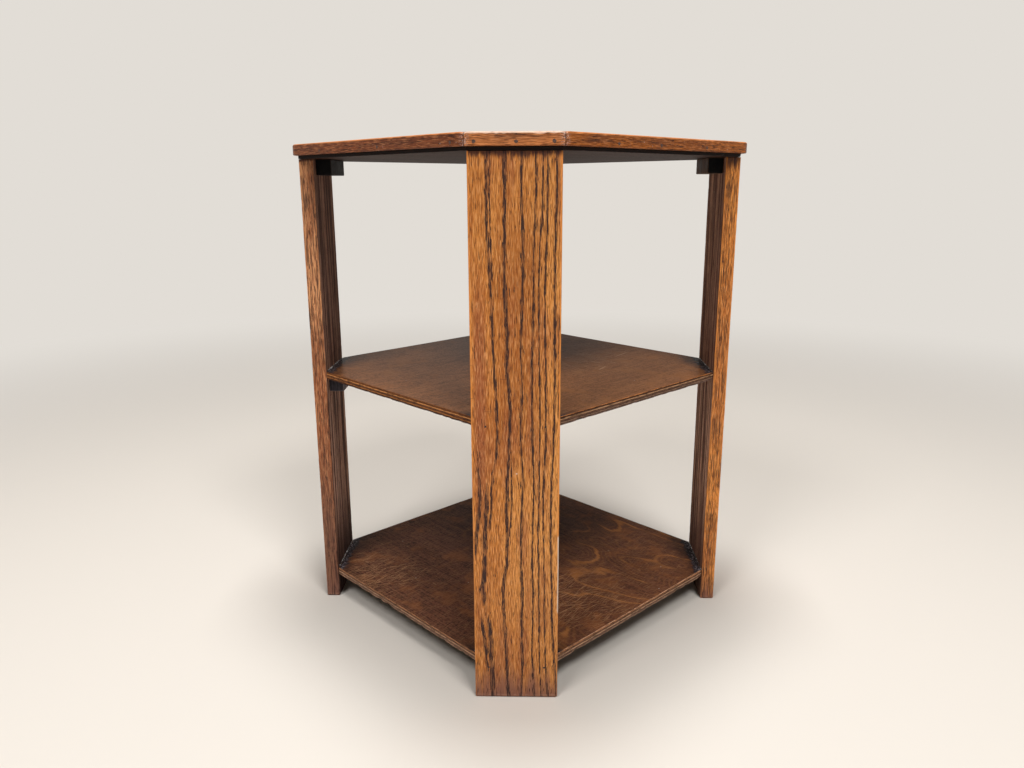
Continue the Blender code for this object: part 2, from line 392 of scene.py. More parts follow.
def vector_length(tree, vector):
    """Length of a vector."""
    made = tree.nodes.new("ShaderNodeVectorMath")
    made.operation = "LENGTH"
    feed(tree, made.inputs[0], vector)
    return made.outputs["Value"]


def mark(tree, name):
    """A number that the mesh carries at its points."""
    made = tree.nodes.new("ShaderNodeAttribute")
    made.attribute_name = name
    return made.outputs["Fac"]


print("the front leg's axes:", np.round(turn(CORNER_ANGLE["front"]), 2).tolist())

# %% [markdown]
# Wood is noise that is stretched: more cells across the grain than along it. Cut at a level, such noise
# gives pores and streaks. Bands with soft edges say where on the board a thing happens, and noise that is
# added to a place makes the edge of what depends on it ragged.

# %% Patterns
def stretched(tree, vector, cells):
    """A vector times the number of pattern cells per metre along each axis."""
    made = tree.nodes.new("ShaderNodeVectorMath")
    made.operation = "MULTIPLY"
    feed(tree, made.inputs[0], vector)
    made.inputs[1].default_value = cells
    return made.outputs[0]


def noise(tree, vector, cells, detail=1.0, roughness=0.5):
    """Cloudy noise about 0.5, with so many cells per metre along each axis."""
    made = tree.nodes.new("ShaderNodeTexNoise")
    feed(tree, made.inputs["Vector"], stretched(tree, vector, cells))
    made.inputs["Scale"].default_value = 1.0
    made.inputs["Detail"].default_value = detail
    made.inputs["Roughness"].default_value = roughness
    return made.outputs[0]


def band(tree, value, middle, half):
    """1 near the middle, falling smoothly to 0 at half a width away from it."""
    return fade(tree, distance(tree, value, middle), half, half * 0.25)


def between(tree, value, low, high, soft):
    """1 between two values, falling smoothly to 0 outside them."""
    rising = fade(tree, value, low - soft, low + soft)
    return times(tree, rising, fade(tree, value, high + soft, high - soft))


def jitter(tree, vector, cells, reach, value, detail=2.0):
    """A value pushed up or down by up to about half the reach, with cloudy noise."""
    push = minus(tree, noise(tree, vector, cells, detail, 0.6), 0.5)
    return times_plus(tree, push, reach, value)


print("patterns ready")

# %% [markdown]
# What several finishes share goes into node groups. A group puts out masks and values only, and the shader
# stays in the material. Old varnish is a clear coat over wood that hardly shines by itself, so bare faces,
# where the coat's weight is 0, stay dull.

# %% Groups and finishes
BARE_SHINE = 0.08


def give(tree, sockets, **values):
    """Feeds sockets by their names."""
    for label, value in values.items():
        feed(tree, sockets[label], value)


def new_group(name, inputs, outputs):
    """An empty node group with named sockets; Board is a vector, the rest are numbers."""
    group = bpy.data.node_groups.new(name, "ShaderNodeTree")
    for label in inputs:
        kind = "NodeSocketVector" if label == "Board" else "NodeSocketFloat"
        group.interface.new_socket(label, in_out="INPUT", socket_type=kind)
    for label in outputs:
        group.interface.new_socket(label, in_out="OUTPUT", socket_type="NodeSocketFloat")
    return group, group.nodes.new("NodeGroupInput").outputs, group.nodes.new("NodeGroupOutput").inputs


def place_group(tree, group, **values):
    """Puts a group into a material, with its own values."""
    made = tree.nodes.new("ShaderNodeGroup")
    made.node_tree = group
    give(tree, made.inputs, **values)
    return made.outputs


def new_finish(name):
    """A material and its Principled shader."""
    material = bpy.data.materials.new(name)
    material.use_nodes = True
    return material, material.node_tree, material.node_tree.nodes["Principled BSDF"]


def surface(tree, shader, colour, rough, height, depth):
    """Feeds a shader its colour, its roughness and a bump; depth is a full step of height, in metres."""
    bump = tree.nodes.new("ShaderNodeBump")
    bump.inputs["Distance"].default_value = depth
    feed(tree, bump.inputs["Height"], height)
    for label, value in (("Base Color", colour), ("Roughness", rough), ("Normal", bump.outputs[0])):
        feed(tree, shader.inputs[label], value)


def varnish(tree, shader, weight, rough):
    """A clear coat, as heavy as the weight, over wood that hardly shines."""
    shader.inputs["Specular IOR Level"].default_value = BARE_SHINE
    shader.inputs["Coat Roughness"].default_value = rough
    feed(tree, shader.inputs["Coat Weight"], weight)


print("bare wood shines at", BARE_SHINE, "of the usual level")

# %% [markdown]
# Oak shows its age rings as dark lines of open pores. On these legs they run almost straight up the face,
# and each has its own course: it leans, swells, splits and ends. So each line here is a curve of its place
# across the board over the height, through a few points. Noise alone could make lines, but they would all
# wander alike.

# %% Ring lines
WHOLE = (-50, 650)
# half width, start and end height, then (height, place across) along the course, all in millimetres
RING_COURSES = (
    (1.2, WHOLE, ((0, -7.5), (300, -6.4), (600, -8.0))),
    (1.2, WHOLE, ((0, -3.0), (200, -2.0), (400, -3.6), (600, -2.6))),
    (3.1, (172, 284), ((0, 3.0), (180, 3.2), (205, 5.0), (225, 7.6), (268, 7.8), (600, 8.0))),
    (2.9, (36, 102), ((0, 15.0), (40, 14.0), (70, 11.4), (102, 7.8), (600, 7.0))),
    (4.2, (118, 250), ((0, 13.0), (118, 11.8), (135, 9.6), (150, 11.5), (205, 13.4), (240, 15.2),
                       (600, 14.0))),
    (4.6, (-50, 104), ((0, 20.0), (30, 19.4), (60, 18.0), (90, 17.0), (104, 14.5), (600, 14.0))),
    (2.2, (206, 268), ((0, 17.0), (205, 18.0), (225, 20.0), (250, 20.6), (266, 22.0), (600, 22.0))),
    (2.35, (268, 650), ((0, 26.0), (268, 23.0), (290, 26.0), (340, 26.6), (380, 24.5), (440, 22.3),
                        (480, 20.8), (520, 18.6), (560, 18.6), (600, 19.2))),
    (1.3, (470, 650), ((0, 23.0), (470, 23.2), (520, 22.0), (560, 21.6), (600, 22.2))),
    (2.85, WHOLE, ((0, 37.0), (75, 34.0), (110, 32.3), (140, 32.8), (170, 36.4), (232, 36.6), (300, 39.4),
                   (350, 40.0), (380, 37.6), (420, 37.8), (460, 35.6), (540, 36.0), (600, 36.5))),
    (1.3, (195, 275), ((0, 40.0), (200, 39.5), (220, 41.4), (275, 42.0), (600, 42.0))),
    (2.2, WHOLE, ((0, 51.0), (35, 53.2), (80, 52.3), (125, 53.2), (170, 51.4), (270, 53.2), (315, 51.6),
                  (370, 53.0), (395, 52.0), (450, 53.0), (520, 53.5), (550, 52.4), (600, 53.0))),
    (1.65, WHOLE, ((0, 66.3), (45, 64.0), (120, 64.5), (180, 63.5), (250, 64.9), (310, 63.5), (370, 63.0),
                   (440, 64.0), (500, 64.3), (545, 66.4), (600, 66.4))),
    (1.4, WHOLE, ((0, 74.3), (60, 71.8), (120, 71.0), (190, 70.0), (270, 70.8), (350, 71.1), (400, 70.1),
                  (490, 70.0), (540, 72.8), (600, 72.6))),
    (1.55, WHOLE, ((0, 82.0), (30, 79.4), (70, 77.6), (130, 77.0), (230, 75.1), (300, 77.0), (370, 77.0),
                   (440, 75.4), (500, 76.5), (560, 77.8), (600, 78.4))),
    (2.0, WHOLE, ((0, 91.0), (45, 88.2), (100, 85.3), (145, 84.6), (230, 83.1), (300, 85.5), (350, 85.9),
                  (420, 85.6), (500, 85.5), (545, 86.0), (600, 87.0))),
    (0.9, (330, 430), ((0, 90.0), (600, 90.0))),
    (1.4, WHOLE, ((0, 96.0), (300, 95.0), (600, 96.5))),
    (1.3, WHOLE, ((0, 101.5), (300, 102.5), (600, 101.0))),
)
COURSE_HEIGHT = 600.0
PLACE_LOW, PLACE_REACH = -20.0, 140.0
LINE_END = 15.0
WIDE_LINE, WIDE_STRENGTH = 2.0, 0.90


def course(tree, height, points):
    """A Float Curve node: the height goes in as a share, and the place across comes out as one."""
    made = tree.nodes.new("ShaderNodeFloatCurve")
    curve = made.mapping.curves[0]
    spots = [(level / COURSE_HEIGHT, (place - PLACE_LOW) / PLACE_REACH) for level, place in points]
    curve.points[0].location = spots[0]
    curve.points[-1].location = spots[-1]
    for spot in spots[1:-1]:
        curve.points.new(*spot)
    made.mapping.update()
    feed(tree, made.inputs["Value"], height)
    return made.outputs[0]


def ring_lines(tree, place, height):
    """Strength of the nearest ring line, from 0 to 1: each is a band about its course, between its ends."""
    share = times_plus(tree, place, 1000 / PLACE_REACH, -PLACE_LOW / PLACE_REACH)
    level = times(tree, height, 1000 / COURSE_HEIGHT)
    strongest = 0.0
    for half, span, points in RING_COURSES:
        line = band(tree, share, course(tree, level, points), half / PLACE_REACH)
        if span != WHOLE:
            start, end, soft = (value / COURSE_HEIGHT for value in (*span, LINE_END))
            line = times(tree, line, between(tree, level, start, end, soft))
        if half > WIDE_LINE:
            line = times(tree, line, WIDE_STRENGTH)
        strongest = larger(tree, strongest, line)
    return strongest


print(len(RING_COURSES), "ring lines, from", min(half for half, _, _ in RING_COURSES), "mm half width up")

# %% [markdown]
# The lines alone would look drawn with a pen. So their place is bent by two noises, one long and one fine,
# and it shifts with the depth in the board, which carries the lines round onto the narrow edges. Long thin
# noise is then cut at a level that drops inside the lines, so that pores crowd there and grow rare between.
# Shorter and fainter flecks cover the whole face.

# %% Oak grain group
RING_SLANT = -0.55
# noise cells per metre across, through and along the board
LONG_BENDS, FINE_BENDS, SWELLS = (160, 160, 14), (1700, 1700, 90), (70, 70, 16)
STRANDS, EDGE_STRANDS, SHORT_STRANDS = (950, 950, 64), (800, 800, 30), (1250, 1250, 80)
BROAD_TONE, FINE_TONE, SLOW_TONE = (420, 420, 14), (1200, 1200, 120), (50, 50, 5)


def make_oak_grain():
    """Node group: ring lines with bent courses add to the strands' noise, and what passes a level is a pore.
    Behind the face, on the narrow edges, the lines grow weak and plain strands take over."""
    tree, given, gives = new_group("oak_grain", ["Board", "Seed", "Rings"],
                                   ["Tone", "Lines", "Pores", "Flecks", "Lights", "Height"])
    across, through, along = split(tree, given["Board"])
    joined = tree.nodes.new("ShaderNodeCombineXYZ")
    give(tree, joined.inputs, X=across, Y=through, Z=maths(tree, "ADD", along, given["Seed"]))
    seeded = joined.outputs[0]
    place = times_plus(tree, through, RING_SLANT, across)
    place = jitter(tree, seeded, LONG_BENDS, 0.0024, place)
    place = jitter(tree, seeded, FINE_BENDS, 0.0036, place)
    behind = fade(tree, through, 0.0012, 0.0030)
    swell = fade(tree, noise(tree, seeded, SWELLS), 0.28, 0.55, 0.65)
    lines = times(tree, ring_lines(tree, place, along), swell)
    lines = times(tree, lines, times_plus(tree, behind, -0.75, 1.0))
    lines = times(tree, lines, given["Rings"])
    strands = noise(tree, seeded, STRANDS, 2.0, 0.65)
    pores = fade(tree, times_plus(tree, lines, 0.19, strands), 0.612, 0.648)
    edge_lines = fade(tree, noise(tree, seeded, EDGE_STRANDS, 2.0, 0.6), 0.51, 0.58, 0.0, 0.72)
    pores = larger(tree, pores, times(tree, edge_lines, behind))
    short = noise(tree, seeded, SHORT_STRANDS, 2.0, 0.6)
    flecks = fade(tree, times_plus(tree, lines, 0.06, short), 0.50, 0.60)
    tone = weighted(tree, (noise(tree, seeded, BROAD_TONE, 2.0), 0.45),
                    (noise(tree, seeded, FINE_TONE, 2.0), 0.35), (noise(tree, seeded, SLOW_TONE), 0.20))
    height = minus(tree, tone, times_plus(tree, flecks, 0.4, pores))
    give(tree, gives, Tone=tone, Lines=lines, Pores=pores, Flecks=flecks,
         Lights=fade(tree, short, 0.48, 0.38), Height=height)
    return tree


oak_grain = make_oak_grain()
print("oak_grain has", len(oak_grain.nodes), "nodes")

# %% [markdown]
# Old varnish wears off first along the arrises, in patches, and small knocks leave pale specks and short
# scratches. Each is a mask that several finishes share. Wear is the arris mark from the mesh, broken up by
# noise. Specks come from cells of a Voronoi pattern, where only a few cells, picked by their random colour,
# get a spot.

# %% Wear and speck groups
def sparse_spots(tree, vector, cells, share, size):
    """Spots in a share of the cells of a Voronoi pattern, out to a distance of size in cell widths."""
    made = tree.nodes.new("ShaderNodeTexVoronoi")
    feed(tree, made.inputs["Vector"], stretched(tree, vector, cells))
    made.inputs["Scale"].default_value = 1.0
    chosen = maths(tree, "LESS_THAN", split(tree, made.outputs["Color"])[0], share)
    return times(tree, chosen, fade(tree, made.outputs["Distance"], size, size * 0.5))


def make_edge_wear():
    """Node group: the arris mark plus patchy noise, cut at a level."""
    tree, given, gives = new_group("edge_wear", ["Board", "Arris"], ["Wear"])
    patches = noise(tree, given["Board"], (120, 120, 60), 3.0, 0.6)
    give(tree, gives, Wear=fade(tree, maths(tree, "ADD", given["Arris"], patches), 1.15, 1.55))
    return tree


def make_knocks():
    """Node group: round specks, and scratches whose cells are long across the board."""
    tree, given, gives = new_group("knocks", ["Board"], ["Specks", "Scratches"])
    give(tree, gives, Specks=sparse_spots(tree, given["Board"], (85, 85, 85), 0.045, 0.10),
         Scratches=sparse_spots(tree, given["Board"], (60, 200, 900), 0.02, 0.30))
    return tree


edge_wear, knocks = make_edge_wear(), make_knocks()


def worn_arris(tree, board):
    """Wear of a piece's own arrises."""
    return place_group(tree, edge_wear, Board=board, Arris=mark(tree, "arris"))["Wear"]


print("edge_wear and knocks ready")

# %% [markdown]
# The legs are golden oak under worn satin varnish. The ground colour follows the grain's tone, is yellower
# towards one edge, browner in the middle and redder in a streak and some clouds, and darkens in the flecks
# and the ring lines. Dirt has crept up from the foot, and polish has run down from the top end. All of it
# depends on a place in space and not on a flat picture, so it runs round an arris as real grain does.

# %% Leg ground and stains
FOOT_STAIN, FOOT_LINE, FOOT_LINE_HALF = 0.046, 0.0034, 0.0014
# zones of a board's face in metres, along it and across it: from, to and, where given, how soft
HEART_ALONG, HEART_ACROSS = (0.28, 0.52, 0.05), (0.027, 0.072, 0.010)
BRIGHT_ALONG, BRIGHT_ACROSS = (0.12, 0.29, 0.05), (0.024, 0.050)
STREAK_ALONG, STREAK_MIDDLE, STREAK_HALF = (0.22, 0.46, 0.06), 0.010, 0.010
YELLOW_ACROSS = (0.045, 0.085)
golden_yellow, streak_red, heart_brown = paint(220, 150, 76), paint(146, 76, 46), paint(140, 72, 26)
fleck_brown, pale_fleck_glint, dull_purple = paint(124, 68, 28), paint(240, 182, 122), paint(98, 62, 52)
ring_grey, pore_black, rubbed_orange = paint(104, 66, 48), paint(43, 29, 29), paint(232, 146, 68)
foot_stain, foot_line_glint, top_stain = paint(126, 84, 70), paint(158, 120, 100), paint(66, 36, 32)


def leg_ground(tree, board, grain, light, dark):
    """Golden oak between a light and a dark colour, with its yellow side, brown heart, bright patch, red
    streak and clouds, flecks and lines."""
    across, _, along = split(tree, board)
    ground = ramp(tree, grain["Tone"], [(0.38, dark), (0.62, light)])
    ground = mix(tree, fade(tree, across, *YELLOW_ACROSS, 0.0, 0.45), ground, golden_yellow)
    heart = times(tree, between(tree, along, *HEART_ALONG), between(tree, across, *HEART_ACROSS))
    ground = tint(tree, ground, heart_brown, heart, 0.52)
    bright = times(tree, between(tree, along, *BRIGHT_ALONG), fade(tree, across, *BRIGHT_ACROSS, 0.0, 0.50))
    ground = mix(tree, bright, ground, golden_yellow)
    streak = times(tree, band(tree, across, STREAK_MIDDLE, STREAK_HALF), between(tree, along, *STREAK_ALONG))
    clouds = fade(tree, noise(tree, board, (60, 60, 9), 3.0), 0.47, 0.66, 0.0, 0.52)
    ground = mix(tree, larger(tree, times(tree, streak, 0.8), clouds), ground, streak_red)
    # pale fibres, made paler still as painted glints on the varnish
    ground = tint(tree, ground, pale_fleck_glint, grain["Lights"], 0.34)
    ground = tint(tree, ground, fleck_brown, grain["Flecks"], 0.66)
    return mix(tree, fade(tree, grain["Lines"], 0.20, 0.75, 0.0, 0.50), ground, ring_grey)


def leg_stains(tree, plain, height, colour, drip, dull):
    """Dirt that creeps up from the foot, with a dull purple that reaches further up and a pale line at the
    floor that is partly scuffs and partly a painted highlight on the rounded foot, a darker upper part, and
    polish that ran down from the top in fingers as long as the drip."""
    colour = mix(tree, fade(tree, height, 0.40, 0.60, 0.0, 0.18), colour, top_stain)
    faded = fade(tree, jitter(tree, plain, (60, 60, 8), 0.100, height), 0.280, 0.060, 0.0, dull)
    colour = mix(tree, faded, colour, dull_purple)
    rise = jitter(tree, plain, (140, 140, 14), 0.060, height)
    colour = mix(tree, fade(tree, rise, FOOT_STAIN, 0.002, 0.0, 0.85), colour, foot_stain)
    # a pale line at the floor: scuffs, and a painted highlight on the rounded foot
    scuffed = fade(tree, noise(tree, plain, (260, 260, 260), 2.0), 0.36, 0.56, 0.1, 0.6)
    colour = tint(tree, colour, foot_line_glint, band(tree, height, FOOT_LINE, FOOT_LINE_HALF), scuffed)
    fall = jitter(tree, plain, (300, 300, 24), 2.4 * drip, height)
    return mix(tree, fade(tree, fall, leg_top - drip, leg_top - 0.2 * drip, 0.0, 0.85), colour, top_stain)


print("dirt reaches about", FOOT_STAIN, "m up a leg of", round(leg_top, 4), "m")

# %% [markdown]
# Then come the layers on top. The open pores are drawn over the stains, since they stay black under any
# stain, and the arrises are rubbed to orange, but less so near the floor. The inner faces are dark
# brown with paler stripes, and painted shade darkens them in the bay under the top and low down, and
# blackens the foot. Each leg gets its own board, by its seed, its place across the ring lines and which
# end of the board is up.

# %% Leg finish
LEG_COAT, LEG_COAT_ROUGHNESS, LEG_RELIEF = 0.30, 0.36, 0.00026
LOW_RUB = 0.3
speck_white, nick_brown = paint(222, 205, 188), paint(96, 50, 34)
# seed of the noise, shift across the ring lines, 1 or -1 for which end of the board is up, ground colours,
# inner face, length of the polish's drips, share of dull purple low down, brightness of the arrises
Leg = namedtuple("Leg", "seed shift up light dark inside drip dull rub")
# colours of an inner face, and how black painted shade makes its foot
Inside = namedtuple("Inside", "light dark dirt")


def inner_face(tree, board, height, grain, inside):
    """Colour of an inner face: stripes of two browns, with painted shade that darkens them in the bay under
    the top and low down, and blackens the foot."""
    stripes = noise(tree, board, (150, 150, 4), 2.0, 0.6)
    colour = ramp(tree, stripes, [(0.42, inside.dark), (0.58, inside.light)])
    # painted shade: darker above the middle shelf, in the bay under the top, and low down; black at the foot
    upper = fade(tree, height, upper_bay - 0.004, upper_bay + 0.004, 0.0, 0.48)
    painted_shade = larger(tree, upper, fade(tree, height, 0.17, 0.06, 0.0, 0.75))
    colour = mix(tree, painted_shade, colour, inside.dark)
    colour = mix(tree, fade(tree, height, 0.12, 0.04, 0.0, inside.dirt), colour, pore_black)
    return tint(tree, colour, pore_black, grain["Pores"], 0.75)


def leg_finish(corner, leg):
    """Golden oak for one leg, on a board that starts at its foot or, upside down, at its top."""
    material, tree, shader = new_finish("golden_oak_" + corner)
    axes = turn(CORNER_ANGLE[corner])
    foot = 0.0 if leg.up > 0 else leg_top
    start = axes @ np.array([leg_high[0], leg.up * (leg_low[1] - leg.shift), foot])
    board = board_vector(tree, leg.up * axes[:, 1], -axes[:, 0], (0, 0, leg.up), start)
    plain = own_place(tree)
    height = split(tree, plain)[2]
    grain = place_group(tree, oak_grain, Board=board, Seed=leg.seed, Rings=1.0)
    colour = leg_ground(tree, board, grain, leg.light, leg.dark)
    colour = leg_stains(tree, plain, height, colour, leg.drip, leg.dull)
    colour = tint(tree, colour, pore_black, grain["Pores"], 0.92)
    rub = fade(tree, height, 0.05, 0.30, LOW_RUB * leg.rub, leg.rub)
    colour = tint(tree, colour, rubbed_orange, worn_arris(tree, board), rub)
    inner = mark(tree, "inner")
    colour = mix(tree, inner, colour, inner_face(tree, board, height, grain, leg.inside))
    spots = place_group(tree, knocks, Board=board)
    colour = tint(tree, colour, speck_white, spots["Specks"], 0.6)
    colour = tint(tree, colour, nick_brown, spots["Scratches"], 0.6)
    # a pale scuff with a painted highlight along the front leg's arris
    colour = tint(tree, colour, speck_white, mark(tree, "scuff"), 0.85)
    rough = times_plus(tree, grain["Pores"], 0.20, fade(tree, grain["Tone"], 0.3, 0.7, 0.60, 0.50))
    surface(tree, shader, colour, times_plus(tree, inner, 0.2, rough), grain["Height"], LEG_RELIEF)
    varnish(tree, shader, times_plus(tree, inner, -LEG_COAT, LEG_COAT), LEG_COAT_ROUGHNESS)
    return material


print("legs: coat", LEG_COAT, "and bump", LEG_RELIEF, "m")

# %% [markdown]
# A leg is a bar that stands upright. Its foot is rounded more than its planed arrises, from years of being
# pushed about the floor, and its upper end stays square against the table's top. The front leg also has a
# long pale mark on one arris, low down, which is a number on the mesh's points there: partly a scuff and
# partly a painted highlight where the arris catches the light.

# %% Make the legs
LEG_ARRIS, LEG_DENTS, LEG_SEED = 0.0015, 16, 11
FOOT_ROUNDING, TOP_ROUNDING, FOOT_WEAR = 0.0024, 0.0003, 0.0010
LEG_STEP, LEG_FACE_STEP, INNER_DEPTH = 0.003, 0.010, 0.0004
SCUFF_GLINTS = {"front": (0.105, 0.198)}
SCUFF_GLINT_DEPTH, SCUFF_GLINT_WIDTH = 0.0022, 0.0012
GREY_INSIDE = Inside(*paints((222, 172, 146), (106, 76, 64)), 0.72)
# The right leg's inner face is a lighter copy: painted light, for the light that reaches that face.
LIT_BROWN_INSIDE = Inside(*paints((238, 184, 152), (132, 94, 78)), 0.34)
# The right leg's brighter, more orange ground is partly painted light, as light falls from the right.
LEGS = {
    "front": Leg(0.0, 0.0, 1, paint(219, 144, 71), paint(172, 96, 30), GREY_INSIDE, 0.007, 0.14, 0.70),
    "right": Leg(3.7, 0.004, 1, paint(247, 160, 75), paint(206, 120, 47), LIT_BROWN_INSIDE, 0.020, 0.08, 0.60),
    "back": Leg(7.9, -0.005, -1, paint(198, 128, 72), paint(152, 88, 46), GREY_INSIDE, 0.007, 0.30, 0.45),
    "left": Leg(12.3, 0.006, -1, paint(233, 165, 114), paint(181, 121, 85), GREY_INSIDE, 0.004, 0.80, 0.06),
}


def leg_rings(corner, seed):
    """Rounded rectangles carried up the leg, then turned to its corner; also its marks for wear."""
    low, high = turned_box("leg_" + corner, CORNER_ANGLE[corner])
    middle, half = (low + high) / 2, (high - low) / 2
    heights, inset = stations(low[2], high[2], FOOT_ROUNDING, TOP_ROUNDING, LEG_STEP)
    rounding = worn_rounding(heights, LEG_ARRIS, LEG_DENTS, seed)
    outline, arris = rounded_rings(half[0] - inset, half[1] - inset, rounding, LEG_FACE_STEP)
    x, y = middle[0] + outline[..., 0], middle[1] + outline[..., 1]
    points = np.stack([x, y, np.broadcast_to(heights[:, None], x.shape)], -1)
    worn_foot = np.exp(-(heights - low[2]) / FOOT_WEAR)[:, None]
    bottom, top = SCUFF_GLINTS.get(corner, (1.0, 1.0))
    scuff = ((heights > bottom) & (heights < top))[:, None]
    scuff = scuff & (x > high[0] - SCUFF_GLINT_DEPTH) & (y > high[1] - SCUFF_GLINT_WIDTH)
    marks = {"arris": np.maximum(arris, worn_foot), "inner": (x < low[0] + INNER_DEPTH).astype(float),
             "scuff": scuff.astype(float)}
    return points @ turn(CORNER_ANGLE[corner]).T, marks


for number, (corner, leg) in enumerate(LEGS.items()):
    points, marks = leg_rings(corner, LEG_SEED + number)
    piece = ring_skin("oak_leg_" + corner, points[None], marks)
    fit_piece(piece, leg_finish(corner, leg), "leg_oak", "leg_" + corner)

# %% [markdown]
# Eight strips of oak hide the raw edge of the top. They took a redder stain than the legs. They are rubbed
# orange along the upper arris, and pale on the front strip, where the pale is partly a painted highlight.
# Dirt fills the mitres, with crumbs of old polish beside them. The same oak grain serves again, with the
# board laid along the strip and its ring lines weaker.

# %% Lipping finish
LIPPING_COAT, LIPPING_COAT_ROUGHNESS, LIPPING_RELIEF = 0.18, 0.32, 0.00024
STRIP_RINGS = 0.38
# how far below the strip its board starts: a least depth, a step per seed and the range of the steps
BOARD_BELOW, BOARD_STEP, BOARD_RANGE = 0.03, 0.01, 0.04
dark_patch, mitre_black, residue_grey = paint(96, 54, 36), paint(52, 34, 32), paint(196, 178, 174)
strip_fleck, strip_light, strip_pore = paint(84, 42, 22), paint(216, 150, 102), paint(46, 29, 26)


def lipping_finish(name, low, high, seed, light, dark, rubbed):
    """Red-brown oak for one strip, with the grain along it; rubbed is the colour of its upper arris, wear
    that on the front strip is partly a painted highlight.
    """
    material, tree, shader = new_finish("red_oak_" + name)
    axes = turn(STRIP_ANGLE[name])
    below = BOARD_BELOW + seed * BOARD_STEP % BOARD_RANGE
    start = axes @ np.array([high[0], low[1], low[2] - below])
    board = board_vector(tree, (0, 0, 1), axes[:, 0], axes[:, 1], start)
    grain = place_group(tree, oak_grain, Board=board, Seed=seed, Rings=STRIP_RINGS)
    colour = ramp(tree, grain["Tone"], [(0.38, dark), (0.62, light)])
    patch = fade(tree, noise(tree, board, (60, 60, 12), 2.0), 0.48, 0.68, 0.0, 0.5)
    colour = mix(tree, patch, colour, dark_patch)
    for over, mask, weight in ((strip_light, grain["Lights"], 0.36), (strip_fleck, grain["Flecks"], 0.62),
                               (strip_pore, grain["Pores"], 0.75), (rubbed, worn_arris(tree, board), 0.85)):
        colour = tint(tree, colour, over, mask, weight)
    half = high[1]
    reach = distance(tree, split(tree, board)[2], half)
    crumbs = fade(tree, noise(tree, board, (900, 900, 900), 3.0, 0.6), 0.50, 0.60)
    beside_mitre = fade(tree, reach, half - 0.008, half - 0.001, 0.0, 0.6)
    colour = tint(tree, colour, residue_grey, crumbs, beside_mitre)
    colour = tint(tree, colour, residue_grey, sparse_spots(tree, board, (300, 300, 300), 0.03, 0.26), 0.6)
    reach = jitter(tree, board, (300, 300, 300), 0.0010, reach)
    colour = mix(tree, fade(tree, reach, half - 0.0014, half - 0.0003, 0.0, 0.80), colour, mitre_black)
    rough = times_plus(tree, grain["Pores"], 0.2, 0.50)
    surface(tree, shader, colour, rough, grain["Height"], LIPPING_RELIEF)
    varnish(tree, shader, LIPPING_COAT, LIPPING_COAT_ROUGHNESS)
    return material


print("lipping: coat", LIPPING_COAT, "and bump", LIPPING_RELIEF, "m")

# %% [markdown]
# The strips meet in mitres, so each is a bar whose ends are sheared: its length shrinks with the distance
# from the outer face, by the tangent of half the corner's angle. A boolean cut would do it too, but would
# leave no clean rows to wear. Only the outer arrises are rounded, since the inner ones lie against the
# panel.

# %% Make the lipping
MITRE = math.tan(math.radians(22.5))
LIPPING_ARRIS, LIPPING_DENTS, STRIP_SEED = 0.0012, 10, 31
GRAIN_SEED, GRAIN_STEP = 1.3, 2.1
ARRIS_SHARES = np.array([1.0, 1.0, 0.15, 0.15])
STRIP_STEP, STRIP_FACE_STEP = 0.0035, 0.004
MITRE_STEPS = np.array([0.0, 0.0004, 0.0009, 0.0016, 0.0026, 0.0042])
CORNER_DROP, CORNER_DRAW, CORNER_LENGTH = 0.0016, 0.0010, 0.0022
PALE_RUB_AND_GLINT, ORANGE_RUB = paint(226, 192, 168), paint(206, 128, 72)
# light and dark ground, rubbed arris; the front_right strip's brighter, more orange ground is partly
# painted light, as light falls from the right
STRIP_COLOURS = {
    "front": (paint(200, 124, 70), paint(144, 84, 44), PALE_RUB_AND_GLINT),
    "front_right": (paint(182, 102, 34), paint(122, 62, 16), ORANGE_RUB),
    "front_left": (paint(146, 79, 44), paint(94, 48, 27), ORANGE_RUB),
}
PLAIN_STRIP = (paint(170, 102, 58), paint(116, 64, 36), ORANGE_RUB)


def strip_rings(name, low, high, seed):
    """Rounded rectangles carried along the strip; y is shortened by the mitre's tangent times the depth.
    Near the mitres a bell curve of the distance lowers the top and draws in the face, as wear does."""
    middle, half = (low + high) / 2, (high - low) / 2
    close = MITRE_STEPS / half[1]
    even = np.linspace(close[-1] - 1, 1 - close[-1], int(2 * half[1] / STRIP_STEP))[1:-1]
    share = np.concatenate([close - 1, even, 1 - close[::-1]])
    rounding = worn_rounding(share * half[1], LIPPING_ARRIS, LIPPING_DENTS, seed) * ARRIS_SHARES
    still = np.ones(len(share))
    outline, arris = rounded_rings(half[2] * still, half[0] * still, rounding, STRIP_FACE_STEP)
    z, x = middle[2] + outline[..., 0], middle[0] + outline[..., 1]
    y = middle[1] + share[:, None] * (half[1] - (high[0] - x) * MITRE)
    worn_end = np.exp(-(((1 - np.abs(share)) * half[1] / CORNER_LENGTH) ** 2))[:, None]
    outward, upward = (x - low[0]) / (2 * half[0]), (z - low[2]) / (2 * half[2])
    upper = np.where((x > middle[0]) & (z > middle[2]), arris[None], 0.0)
    z = z - CORNER_DROP * worn_end * upward ** 3 * outward ** 2
    x = x - CORNER_DRAW * worn_end * outward ** 2
    return np.stack([x, y, z], -1) @ turn(STRIP_ANGLE[name]).T, {"arris": upper}


for number, (name, angle) in enumerate(STRIP_ANGLE.items()):
    low, high = turned_box("lipping_" + name, angle)
    points, marks = strip_rings(name, low, high, STRIP_SEED + number)
    piece = ring_skin("oak_lipping_" + name, points[None], marks)
    seed = GRAIN_SEED + GRAIN_STEP * number
    finish = lipping_finish(name, low, high, seed, *STRIP_COLOURS.get(name, PLAIN_STRIP))
    fit_piece(piece, finish, "lipping_oak", "lipping_" + name)

